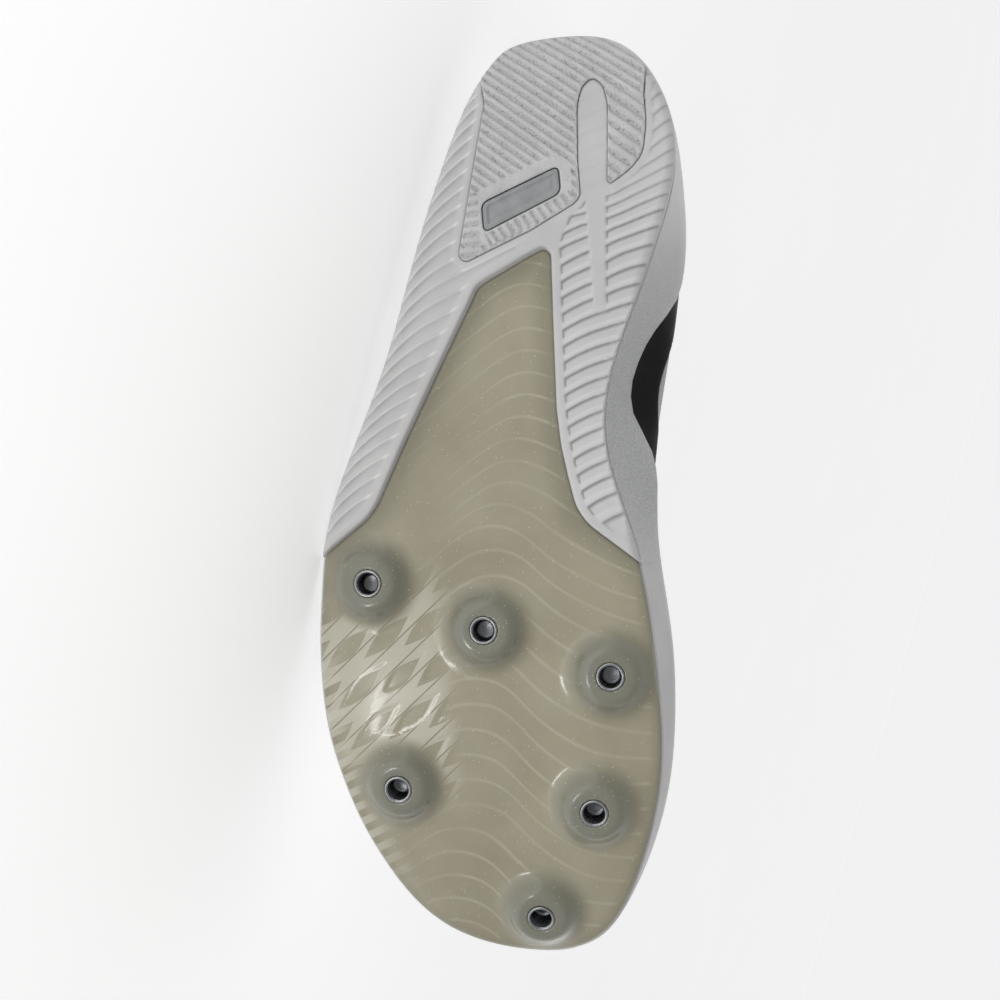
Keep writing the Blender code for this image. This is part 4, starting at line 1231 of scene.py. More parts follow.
boss_line = smooth(
    (0, 5.4, 6.0, 6.6, 7.2, 7.8, 8.4, 9.2, 10.0, 10.8, 11.6, 12.4, 13.2, 14.0, 14.8, 15.8, 17.0),
    (4.75, 4.75, 4.75, 4.71, 4.61, 4.42, 4.08, 3.34, 2.44, 1.66, 1.08, 0.68, 0.40, 0.2, 0.08, 0.0, 0.0),
)


def boss_height(r):
    """A boss's height at r from its centre: a rounded cap, a steep flank and a wide soft foot."""
    return boss_line(np.clip(np.asarray(r, float), 0, 16.9))


crest = columns(CREST.replace("x      y", "x      y"))
wave_rows = rows(WAVE)
wave_of = {name: smooth(wave_rows["across"], wave_rows[name]) for name in ("window", "middle", "front")}


def wave_phase(x, y):
    """Which wave line runs through a point, counted along the shoe, with the parts between in fractions."""
    top = np.array(x, float)
    for _ in range(12):
        across = np.clip(crest["y"](np.clip(top, 60, 262)) - y, -60, 50)
        w, m, f = (wave_of[k](across) for k in ("window", "middle", "front"))
        a, b = step(120, 155, top), step(160, 205, top)
        drop = (w * (1 - a) + m * a) * (1 - b) + f * b
        top = top * 0.4 + (x - drop) * 0.6
    pitch_a, pitch_b = 6.5, 7.7
    return top, np.where(top < 150, (top - 150) / pitch_a, (top - 150) / pitch_b)


def make_plate(material):
    outline = even(plate_outline(GAP, 0, 160), 0.7)
    outline = relaxed(outline, 1)
    facing = normals_of(outline)
    net = honeycomb((62, -52), (282, 60), 0.62)
    net = net[inside(net, outline)]
    wells = [(well_frame(x, y), x, y) for x, y in plan(WELLS)]
    rings, holes = [], []
    radii = (4.9, 5.6, 6.1, 6.5, 7.0, 7.6, 8.3, 9.0, 9.7, 10.4, 11.0, 11.6, 12.3, 13.0, 13.8, 14.6, 15.4, 16.2)
    for m, x, y in wells:
        net = net[np.hypot(net[:, 0] - x, net[:, 1] - y) > 16.6]
        for r in radii:
            count = max(36, int(2 * pi * r / 0.8))
            a = np.arange(count) * 2 * pi / count
            rings.append(np.stack([x + r * np.cos(a), y + r * np.sin(a)], 1))
        a = np.arange(64) * 2 * pi / 64
        holes.append(np.stack([x + WELL_CUT * np.cos(a), y + WELL_CUT * np.sin(a)], 1))
    rings = np.vstack(rings)
    rings = rings[inside(rings, outline)]
    rims = np.vstack([shrunk(outline, d) for d in (0.14, 0.4, 0.8, 1.4)])
    points = np.vstack([net, rings])
    far, _ = nearest(points, outline)
    points = np.vstack([points[far > 1.8], rims])
    for hole in holes:
        points = points[np.hypot(points[:, 0] - hole[:, 0].mean(), points[:, 1] - hole[:, 1].mean()) > WELL_CUT + 0.25]
    verts, faces = filled(outline, points, [(h, True) for h in holes])
    middle = verts[faces].mean(1)
    for m, x, y in wells:
        keep = np.hypot(middle[:, 0] - x, middle[:, 1] - y) > WELL_CUT - 0.05
        faces, middle = faces[keep], middle[keep]
    x, y = verts[:, 0], verts[:, 1]
    d_edge, at = nearest(verts, outline)
    d_window, _ = nearest(verts, WINDOW_LINE, closed=False)
    z = plate_under(x, y)
    top, phase = wave_phase(x, y)
    f = phase - np.floor(phase)
    near_line = np.abs(f - 0.5)
    line = step(0.10, 0.03, near_line)
    # how strongly the lines show: faint to the lateral side behind the forefoot, gone under the bosses
    across = crest["y"](np.clip(top, 60, 262)) - y
    strength = step(-34, -8, across) * (0.55 + 0.45 * step(-20, 4, across)) * step(1.2, 3.5, d_edge)
    strength = np.where(top < 150, np.maximum(strength, 0.35 * step(-44, -30, across) * step(12, 5, d_window)), strength)
    boss, cap, push = np.zeros(len(x)), np.zeros(len(x)), np.zeros((len(x), 3))
    bumpy = np.ones(len(x))
    for m, wx, wy in wells:
        r = np.hypot(x - wx, y - wy)
        h = boss_height(r)
        out = np.array(m.to_3x3().col[2])
        push += h[:, None] * out[None]
        boss = np.maximum(boss, step(16.0, 9.0, r))
        cap = np.maximum(cap, step(9.6, 7.6, r))
        bumpy *= step(11.5, 15.5, r)
    # the glossy, lens-shaped relief beside the lateral wells
    zone = step(158, 172, x - 0.35 * (y - 30)) * step(236, 214, x + 0.2 * (y - 20)) * step(13.0, 22.0, y + 0.10 * (x - 190)) * bumpy
    run = x * 0.69 + y * 0.72
    g = (x * 0.72 - y * 0.69) / 5.7
    row = np.floor(g)
    swell = 0.5 + 0.5 * np.sin(run / 4.6 + row * 2.5)
    half = np.interp(swell, (0.225, 1.0), (-0.05, 0.43))
    lens = step(half + 0.05, half - 0.02, np.abs(g - row - 0.5))
    notch_zone = step(9.0, 1.0, d_edge) * step(178, 196, x) * step(262, 240, x) * (y > 12) * bumpy
    k = (x - 0.55 * y) / 5.4
    k = k - np.floor(k)
    notch = step(0.0, 0.5, k) * step(1.0, 0.5, k) * notch_zone
    strength = strength * (1 - np.clip(zone * 1.4, 0, 1)) * bumpy
    relief = 0.04 * line * strength - 0.07 * zone * lens - 0.05 * notch
    # rounding of the plate's own edge
    u = np.clip(1 - d_edge / 0.9, 0, 1)
    rise = 0.7 * (1 - np.sqrt(np.maximum(0.0, 1 - u * u)))
    verts3 = np.stack([x, y, z + rise - relief], 1) + push
    # painted shade along the window's border and the plate's edge
    deep = np.maximum(step(9.0, 0.5, d_window) * 0.8, step(4.5, 0.3, d_edge) * 0.55)
    count = len(verts3)
    # the edge and the back
    skirt = [np.hstack([outline, (plate_under(*outline.T) + PLATE * t)[:, None]]) for t in (0.35, 0.7, 1.0)]
    skirt[0][:, 2] = plate_under(*outline.T) + 0.7
    walls = np.vstack(skirt)
    for hole_number, (m, wx, wy) in enumerate(wells):
        hole = holes[hole_number]
        base = np.hstack([hole, plate_under(*hole.T)[:, None]])
        out = np.array(m.to_3x3().col[2])
        walls = np.vstack([walls, base + out * 4.75, base + out * 3.6, base + out * 1.0, base - out * 1.9])
    all_points = np.vstack([verts3, walls])
    all_faces = faces[:, ::-1].tolist()
    n = len(outline)
    all_faces += grid_faces(3, n, closed_b=True, first=count).tolist()
    start = count + 3 * n
    for _ in wells:
        all_faces += grid_faces(4, 64, closed_b=True, first=start, flip=True).tolist()
        start += 4 * 64
    extra = len(walls)
    marks = {
        "line": strength,
        "wave": phase + 100.5,
        "along": run,
        "across": g + 50.0,
        "zone": np.clip(zone, 0, 1),
        "notch": (x - 0.55 * y) / 5.4 + 50.0,
        "edge": np.clip(notch_zone, 0, 1),
        "boss": boss * 0.78,
        "cap": cap * 0.75,
        "deep": np.clip(deep, 0, 1),
    }
    # the plate's edge wall and the wells' bores get painted shade too
    tail = {key: 0.8 if key == "deep" else 0.0 for key in marks}
    marks = {k: np.concatenate([v, np.full(extra, tail[k])]) for k, v in marks.items()}
    ob = piece("plate_body", all_points, all_faces, material, marks=marks, weld=0.02)
    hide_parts("spike_plate")
    return ob


def make_inserts(material):
    for i, (x, y) in enumerate(plan(WELLS)):
        m = np.array(well_frame(x, y))
        profile = [(4.12, -1.5), (4.12, 4.72), (4.02, 4.95), (3.85, 5.04), (3.55, 5.04), (3.36, 4.92), (3.2, 4.6)]
        # deep: painted shade, growing down the threaded bore
        deep = [0, 0, 0, 0, 0, 0.1, 0.35]
        segments = 56
        a = np.arange(segments) * 2 * pi / segments
        rings = [np.stack([r * np.cos(a), r * np.sin(a), np.full(segments, h)], 1) for r, h in profile]
        turns = np.linspace(4.4, -1.1, 62)
        for h in turns:
            saw = (h / 0.85 + a / (2 * pi)) % 1.0
            r = 2.92 + 0.22 * np.abs(saw * 2 - 1)
            rings.append(np.stack([r * np.cos(a), r * np.sin(a), np.full(segments, h)], 1))
            deep.append(min(1.0, 0.45 + (4.4 - h) / 5.0))
        for r in (2.0, 1.0, 0.3):
            rings.append(np.stack([r * np.cos(a), r * np.sin(a), np.full(segments, -1.15 - 0.1 * (3 - r))], 1))
            deep.append(1.0)
        points = np.vstack(rings)
        points = points @ m[:3, :3].T + m[:3, 3]
        faces = grid_faces(len(rings), segments, closed_b=True).tolist()
        last = (len(rings) - 1) * segments
        faces.append([last + k for k in range(segments)])
        ob = piece(f"steel_socket_{i + 1}", points, faces, material, marks={"deep": np.repeat(deep, segments)})
        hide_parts(f"spike_insert_{i + 1}")


# ---------------------------------------------------------------- heel rubber and plaque
PLAQUE_EDGE = even(bent(plan(PLAQUE), 2.4), 0.4)


def make_rubber(material):
    outline = even(shrink(rubber_outline(0), 0.15), 0.45)
    bed = shrunk(PLAQUE_EDGE, -0.05)
    net = honeycomb((0, -50), (72, 20), 0.4)
    net = net[inside(net, outline)]
    far, _ = nearest(net, outline)
    net = net[far > 1.1]
    far, _ = nearest(net, bed)
    net = net[(far > 0.35) & ~inside(net, bed)]
    rims = np.vstack([shrunk(outline, d) for d in (0.1, 0.3, 0.6, 0.95)])
    verts, faces = filled(outline, np.vstack([net, rims]), [(bed, True), (shrunk(bed, -0.25), True)])
    middle = verts[faces].mean(1)
    faces = faces[~inside(middle, bed)]
    x, y = verts[:, 0], verts[:, 1]
    d_edge, _ = nearest(verts, outline)
    d_bed, _ = nearest(verts, bed)
    # long diagonal ribs
    t = x + 0.73 * y
    k = np.where((y < -31.0) & (t > -6.3), (t + 6.3) / 4.1 - 6.3 / 3.1, t / 3.1)
    f = np.abs((k - np.floor(k)) * 2 - 1)  # 0 in the middle of a rib, 1 in a groove
    wave = step(0.25, 1.0, f)
    frame_zone = step(3.9, 3.3, d_bed)
    depth = 0.95 * wave * (1 - frame_zone)
    groove = wave * (1 - frame_zone)
    # short ribs square to the plaque's front and lateral edges
    a, b = np.array([49.6, -18.0]), np.array([60.6, 5.0])
    along = (b - a) / np.hypot(*(b - a))
    out = np.array([along[1], -along[0]])
    t, w = (verts - a) @ along, (verts - a) @ out
    below = step(0.4, 0.9, w) * (t > -2.5) * (t < 25) * step(4.6, 4.2, d_bed)
    g = np.abs(((t + 0.18 * w) / 2.55 % 1.0) * 2 - 1)
    short = step(0.2, 1.0, g)
    c, d = np.array([51.6, 5.8]), np.array([60.6, 5.0])
    along2 = (d - c) / np.hypot(*(d - c))
    out2 = np.array([-along2[1], along2[0]])
    t2, w2 = (verts - c) @ along2, (verts - c) @ out2
    beside = step(0.5, 1.0, w2) * (t2 > -3.0) * (1 - below)
    g2 = np.abs((t2 / 3.0 % 1.0) * 2 - 1)
    short2 = step(0.2, 1.0, g2)
    depth = depth * (1 - below) * (1 - beside) + 0.75 * (short * below + short2 * beside)
    groove = groove * (1 - below) * (1 - beside) + short * below + short2 * beside
    groove = groove * step(0.1, 0.5, d_bed)
    depth = depth * step(0.25, 0.9, d_bed)
    # a thin edge all round
    u = np.clip(1 - d_edge / 0.9, 0, 1)
    z = heel_under(x, y) + 0.55 * (1 - np.sqrt(np.maximum(0.0, 1 - u * u))) + depth * step(0.0, 0.9, d_edge)
    v = np.clip(1 - d_bed / 0.5, 0, 1)
    z = z + 0.35 * (1 - np.sqrt(np.maximum(0.0, 1 - v * v)))
    z = np.minimum(z, heel_under(x, y) + RUBBER - 0.4)
    verts3 = np.stack([x, y, z], 1)
    count = len(verts3)
    skirt = [np.hstack([outline, (heel_under(*outline.T) + lift)[:, None]]) for lift in (0.55, 1.6, RUBBER)]
    inner = [np.hstack([bed, (heel_under(*bed.T) + lift)[:, None]]) for lift in (0.35, 0.9, 1.5)]
    points = np.vstack([verts3] + skirt + inner)
    faces = faces[:, ::-1].tolist()
    faces += grid_faces(3, len(outline), closed_b=True, first=count, flip=True).tolist()
    faces += grid_faces(3, len(bed), closed_b=True, first=count + 3 * len(outline)).tolist()
    # the rubber's walls take a little of the grooves' painted shade
    marks = np.concatenate([groove, np.full(len(points) - count, 0.4)])
    ob = piece("tread_rubber", points, faces, material, marks={"groove": marks}, weld=0.02)
    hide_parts("heel_rubber")
    return ob


def make_plaque(material):
    outline = shrunk(PLAQUE_EDGE, GAP)
    net = honeycomb((38, -22), (64, 10), 0.34)
    net = net[inside(net, outline)]
    far, _ = nearest(net, outline)
    verts, faces = filled(outline, np.vstack([net[far > 0.5], shrunk(outline, 0.1), shrunk(outline, 0.28)]))
    x, y = verts[:, 0], verts[:, 1]
    far, _ = nearest(verts, outline)
    u = np.clip(1 - far / 0.35, 0, 1)
    z = 0.25 + 0.35 * (1 - np.sqrt(np.maximum(0.0, 1 - u * u)))
    # a raised border, a recessed field and a narrow step within it
    z += 0.42 * step(1.25, 1.6, far) - 0.16 * step(2.35, 2.55, far)
    verts3 = np.stack([x, y, z], 1)
    count = len(verts3)
    walls = [np.hstack([outline, np.full((len(outline), 1), h)]) for h in (0.6, 0.9, 1.2)]
    points = np.vstack([verts3] + walls)
    faces = faces[:, ::-1].tolist() + grid_faces(3, len(outline), closed_b=True, first=count).tolist()
    ob = piece("bare_plaque", points, faces, material, weld=0.02)
    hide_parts("heel_plaque")
    return ob


foam = make_foam(foam_look())
plate = make_plate(plate_look())
make_inserts(steel_look())
make_rubber(rubber_look())
make_plaque(plaque_look())

# ---------------------------------------------------------------- the upper
ROWS_U, ACROSS = 200, 34


def upper_stations():
    s = np.linspace(0, 1, ROWS_U + 1)
    return HEEL_X + (TOE_X - HEEL_X) / 2 * (1 - np.cos(pi * s))


def walk(points, count):
    """A polyline sampled at count even steps, with its length."""
    run = np.concatenate([[0], np.cumsum(np.sqrt((np.diff(points, axis=0) ** 2).sum(1)))])
    at = np.linspace(0, run[-1], count)
    return np.stack([np.interp(at, run, points[:, k]) for k in range(points.shape[1])], 1), run[-1]


def wall_grid(side):
    """The upper's outside on one side: a grid of points from the feather line up, its normals and each row's girth."""
    xs = upper_stations()
    grid, girth = [], []
    for x in xs:
        line, length = walk(half_section(float(x), side, 12, 30), ACROSS)
        grid.append(np.stack([x + heel_curve(float(x), line[:, 1]), line[:, 0], line[:, 1]], 1))
        girth.append(length)
    grid = np.array(grid)
    normal = np.cross(np.gradient(grid, axis=0), np.gradient(grid, axis=1)) * -side
    # at the closed ends the rows stand upright, and face along the shoe
    size = np.sqrt((normal**2).sum(2, keepdims=True))
    normal = normal / np.maximum(size, 1e-9)
    for end, way in ((0, -1.0), (-1, 1.0)):
        up = np.gradient(grid[end], axis=0)
        up /= np.maximum(np.sqrt((up**2).sum(1, keepdims=True)), 1e-9)
        face = np.array([way, 0.0, 0.0]) - up * (up @ np.array([way, 0.0, 0.0]))[:, None]
        normal[end] = face / np.maximum(np.sqrt((face**2).sum(1, keepdims=True)), 1e-9)
    return grid, normal, np.array(girth)


XS = upper_stations()
GRID, FACING, GIRTH = {}, {}, {}
for side in (1, -1):
    GRID[side], FACING[side], GIRTH[side] = wall_grid(side)
closed = XS > THROAT_FRONT
ridge_normal = FACING[1][closed, -1] + FACING[-1][closed, -1]
ridge_normal /= np.sqrt((ridge_normal**2).sum(1, keepdims=True))
for side in (1, -1):
    FACING[side][closed, -1] = ridge_normal


def on_wall(side, x, v, lift=0.0):
    """Points on the upper at places x along it and shares v of the way up, lifted off the surface."""
    x, v = np.broadcast_arrays(np.asarray(x, float), np.asarray(v, float))
    i = np.interp(x, XS, np.arange(len(XS)))
    j = np.clip(v, 0, 1) * (ACROSS - 1)
    i0, j0 = np.clip(i.astype(int), 0, len(XS) - 2), np.clip(j.astype(int), 0, ACROSS - 2)
    fi, fj = (i - i0)[..., None], (j - j0)[..., None]

    def pick(g):
        low = g[i0, j0] * (1 - fj) + g[i0, j0 + 1] * fj
        high = g[i0 + 1, j0] * (1 - fj) + g[i0 + 1, j0 + 1] * fj
        return low * (1 - fi) + high * fi

    facing = pick(FACING[side])
    facing = facing / np.maximum(np.sqrt((facing**2).sum(-1, keepdims=True)), 1e-9)
    lift = np.asarray(lift, float)
    return pick(GRID[side]) + facing * (lift[..., None] if lift.ndim else lift), facing


def share_at(side, x, z):
    """The share of the way up the wall at which it reaches height z, at each x."""
    made = []
    for a, b in zip(np.atleast_1d(x), np.atleast_1d(z) * np.ones(np.size(x))):
        p, _ = on_wall(side, np.full(ACROSS, a), np.linspace(0, 1, ACROSS))
        made.append(np.interp(b, p[:, 2], np.linspace(0, 1, ACROSS)))
    return np.array(made)


def puff(x, z):
    """How far the padded collar bulges outwards."""
    line = np.array([min(float(collar["lat_z"](max(a, HEEL_X))), 89.0) for a in x])[:, None]
    t = (z - (line - 22)) / 22
    return 1.5 * np.sin(pi * np.clip(t, 0, 1)) ** 1.5 * np.clip((92 - x) / 20, 0, 1)[:, None]


def wall_thick(x, z):
    line = np.array([min(float(collar["lat_z"](max(a, HEEL_X))), 89.0) for a in x])[:, None]
    t = np.clip((z - (line - 24)) / 16, 0, 1)
    fade = np.clip((94 - x) / 20, 0, 1)[:, None]
    return WALL + (COLLAR_WALL - WALL) * t * t * (3 - 2 * t) * fade


def make_upper(cloth, lining):
    outer_blocks, outer_faces, uvs, opens, first = [], [], [], [], 0
    inner_blocks, inner_faces, inner_uv, start = [], [], [], 0
    n = len(XS)
    for side in (1, -1):
        grid, facing = GRID[side], FACING[side]
        open_rows = XS <= THROAT_FRONT
        top_slope = grid[:, -1] - grid[:, -2]
        top_slope /= np.sqrt((top_slope**2).sum(1, keepdims=True))
        out = grid + facing * puff(XS, grid[:, :, 2])[..., None]
        thick = wall_thick(XS, grid[:, :, 2])[..., None]
        inner = grid - facing * thick
        # the rolled edge of the collar and the throat
        radius = thick[:, -1] / 2
        middle = (out[:, -1] + inner[:, -1]) / 2
        roll = []
        for a in np.linspace(0.12, 0.88, 7) * pi:
            roll.append(middle + (facing[:, -1] * cos(a) + top_slope * sin(a) * 0.8) * radius * open_rows[:, None] + (out[:, -1] - middle) * (~open_rows)[:, None])
        full = np.concatenate([out, np.stack(roll[:4], 1)], 1)
        v = np.linspace(0, 1, ACROSS)[None] * GIRTH[side][:, None]
        down = side * (GIRTH[side][:, None] - v)
        down = np.concatenate([down, np.zeros((n, 4)) - side * np.array([0.4, 0.8, 1.2, 1.6])], 1)
        uvs.append(np.stack([np.broadcast_to(XS[:, None], down.shape), down], 2).reshape(-1, 2))
        opens.append((np.broadcast_to(step(120, 190, XS)[:, None], down.shape) * np.concatenate([np.ones((n, ACROSS)), np.zeros((n, 4))], 1)).ravel())
        outer_blocks.append(full.reshape(-1, 3))
        outer_faces += grid_faces(n, ACROSS + 4, flip=side < 0, first=first).tolist()
        first += n * (ACROSS + 4)
        full_in = np.concatenate([np.stack(roll[3:], 1), inner[:, ::-1]], 1)
        inner_blocks.append(full_in.reshape(-1, 3))
        inner_uv.append(np.stack([np.broadcast_to(XS[:, None], (n, ACROSS + 4)), np.broadcast_to(np.arange(ACROSS + 4)[None] * 2.0 * side, (n, ACROSS + 4))], 2).reshape(-1, 2))
        inner_faces += grid_faces(n, ACROSS + 4, flip=side < 0, first=start).tolist()
        start += n * (ACROSS + 4)
    shell = piece("upper_cloth", np.vstack(outer_blocks), outer_faces, cloth, maps={"cloth": np.vstack(uvs)}, marks={"open": np.concatenate(opens)}, weld=0.01)
    lined = piece("upper_lining", np.vstack(inner_blocks), inner_faces, lining, maps={"cloth": np.vstack(inner_uv)}, weld=0.01)
    for ob in (shell, lined):
        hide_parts("upper")
    return shell, lined


def patch(name, side, xs, lows, highs, lift, material, across=16, taper=1.2, marks=None):
    """A thin overlay on one side of the upper, between two lines of shares; its edges sink into the cloth."""
    xs, lows, highs = (np.asarray(v, float) for v in (xs, lows, highs))
    t = np.linspace(0, 1, across)
    v = lows[:, None] + (highs - lows)[:, None] * t[None]
    x = np.broadcast_to(xs[:, None], v.shape)
    girth = np.interp(xs, XS, GIRTH[side])[:, None]
    to_side = np.minimum(v - lows[:, None], highs[:, None] - v) * girth
    to_end = np.minimum(np.abs(x - xs[0]), np.abs(xs[-1] - x))
    rise = step(-0.01, taper, np.minimum(to_side, to_end))
    p, _ = on_wall(side, x, v, -0.25 + (lift + 0.25) * rise)
    z = p[:, :, 2]
    p = p + on_wall(side, x, v)[1] * puff(xs, z)[..., None]
    uv = np.stack([x, (1 - v) * girth * side], 2).reshape(-1, 2)
    ob = piece(name, p.reshape(-1, 3), grid_faces(len(xs), across, flip=side < 0).tolist(), material, maps={"cloth": uv}, marks={"edge": (1 - rise).ravel()})
    return ob


def stitches(name, paths, material, length=1.7, pitch=2.6, radius=0.28):
    """Rows of stitches along (point, normal) paths."""
    points, faces = [], []
    for path, normal in paths:
        run = np.concatenate([[0], np.cumsum(np.sqrt((np.diff(path, axis=0) ** 2).sum(1)))])
        for at in np.arange(pitch / 2, run[-1] - pitch / 2, pitch):
            def spot(d):
                return np.array([np.interp(at + d, run, path[:, k]) for k in range(3)])

            n = np.array([np.interp(at, run, normal[:, k]) for k in range(3)])
            n /= np.linalg.norm(n) + 1e-9
            along = spot(0.4) - spot(-0.4)
            along /= np.linalg.norm(along) + 1e-9
            wide = np.cross(along, n)
            base = len(points)
            for d, share, up in ((-0.5, 0.35, -0.2), (-0.28, 0.9, 0.12), (0, 1.0, 0.2), (0.28, 0.9, 0.12), (0.5, 0.35, -0.2)):
                c = spot(d * length) + n * up
                for k in range(6):
                    a = k * pi / 3
                    points.append(c + (wide * cos(a) + n * sin(a)) * radius * share)
            for r in range(4):
                for k in range(6):
                    k1 = (k + 1) % 6
                    faces.append([base + r * 6 + k, base + r * 6 + k1, base + r * 6 + 6 + k1, base + r * 6 + 6 + k])
    ob = piece(name, np.array(points), faces, material)
    return ob


def wall_path(side, xs, vs, lift):
    p, n = on_wall(side, np.asarray(xs, float), np.asarray(vs, float), lift)
    z = p[:, 2]
    return p + n * puff(np.asarray(xs, float), z[:, None])[:, :1], n


def cloth_look():
    m = Nodes("mesh_cloth", tone(190, 190, 191), 0.9, Sheen_Weight=0.25)
    uv = m.node("ShaderNodeUVMap", uv_map="cloth").outputs["UV"]
    part = m.node("ShaderNodeSeparateXYZ")
    m.give(part.inputs[0], uv)
    u, v = part.outputs[0], part.outputs[1]
    turn = 2 * pi / 2.1
    a = m.sum("SINE", m.sum("MULTIPLY", m.sum("ADD", u, v), turn * 0.70))
    b = m.sum("SINE", m.sum("MULTIPLY", m.sum("SUBTRACT", u, v), turn * 0.70))
    lattice = m.sum("MULTIPLY", a, b)
    yarn = m.sum("SINE", m.sum("MULTIPLY", u, 2 * pi / 0.52))
    yarn2 = m.sum("SINE", m.sum("MULTIPLY", v, 2 * pi / 0.7))
    open_zone = m.mark("open")
    # the mesh's openings darker: painted shade
    hole = m.sum("MULTIPLY", m.span(lattice, 0.45, 0.8), m.sum("ADD", m.sum("MULTIPLY", open_zone, 0.75), 0.2))
    cloud = m.noise(90, 3, 0.6)
    base = m.mix(m.span(cloud, 0.35, 0.7), tone(182, 182, 184), tone(196, 196, 198))
    base = m.mix(m.span(yarn, -1, 1, 0.0, 0.12), base, tone(158, 158, 161))
    base = m.mix(hole, base, tone(112, 113, 116))
    m.colour(base)
    m.rough(m.span(cloud, 0.3, 0.7, 0.82, 0.95))
    weave = m.sum("ADD", m.sum("MULTIPLY", lattice, -0.6), m.sum("MULTIPLY", m.sum("MULTIPLY", yarn, yarn2), 0.25))
    m.normal(m.bump(weave, 0.55, 0.00035))
    return m.material


def textile_look(name, low, high, period=0.8, strength=0.45, roughness=0.92):
    m = Nodes(name, high, roughness, Sheen_Weight=0.3)
    uv = m.node("ShaderNodeUVMap", uv_map="cloth").outputs["UV"]
    part = m.node("ShaderNodeSeparateXYZ")
    m.give(part.inputs[0], uv)
    a = m.sum("SINE", m.sum("MULTIPLY", part.outputs[0], 2 * pi / period))
    b = m.sum("SINE", m.sum("MULTIPLY", part.outputs[1], 2 * pi / period))
    weave = m.sum("MULTIPLY", a, b)
    cloud = m.noise(120, 3, 0.6)
    base = m.mix(m.span(cloud, 0.3, 0.7), low, high)
    base = m.mix(m.span(weave, -0.2, 1.0, 0.0, 0.35), base, tuple(c * 0.6 for c in low))
    m.colour(base)
    m.rough(m.span(cloud, 0.3, 0.7, roughness - 0.08, min(1.0, roughness + 0.04)))
    m.normal(m.bump(m.sum("ADD", weave, m.noise(2500, 2, 0.5)), strength, 0.0002))
    return m.material


def film_look(name, low, high, roughness, gloss=0.5):
    m = Nodes(name, high, roughness, Specular_IOR_Level=gloss)
    cloud = m.noise(140, 3, 0.55)
    base = m.mix(m.span(cloud, 0.3, 0.7), low, high)
    base = m.mix(m.sum("MULTIPLY", m.mark("edge"), 0.35), base, tuple(c * 0.7 for c in low))
    m.colour(base)
    m.rough(m.span(cloud, 0.3, 0.7, roughness - 0.06, roughness + 0.08))
    m.normal(m.bump(m.noise(1700, 3, 0.6), 0.25, 0.00015))
    return m.material


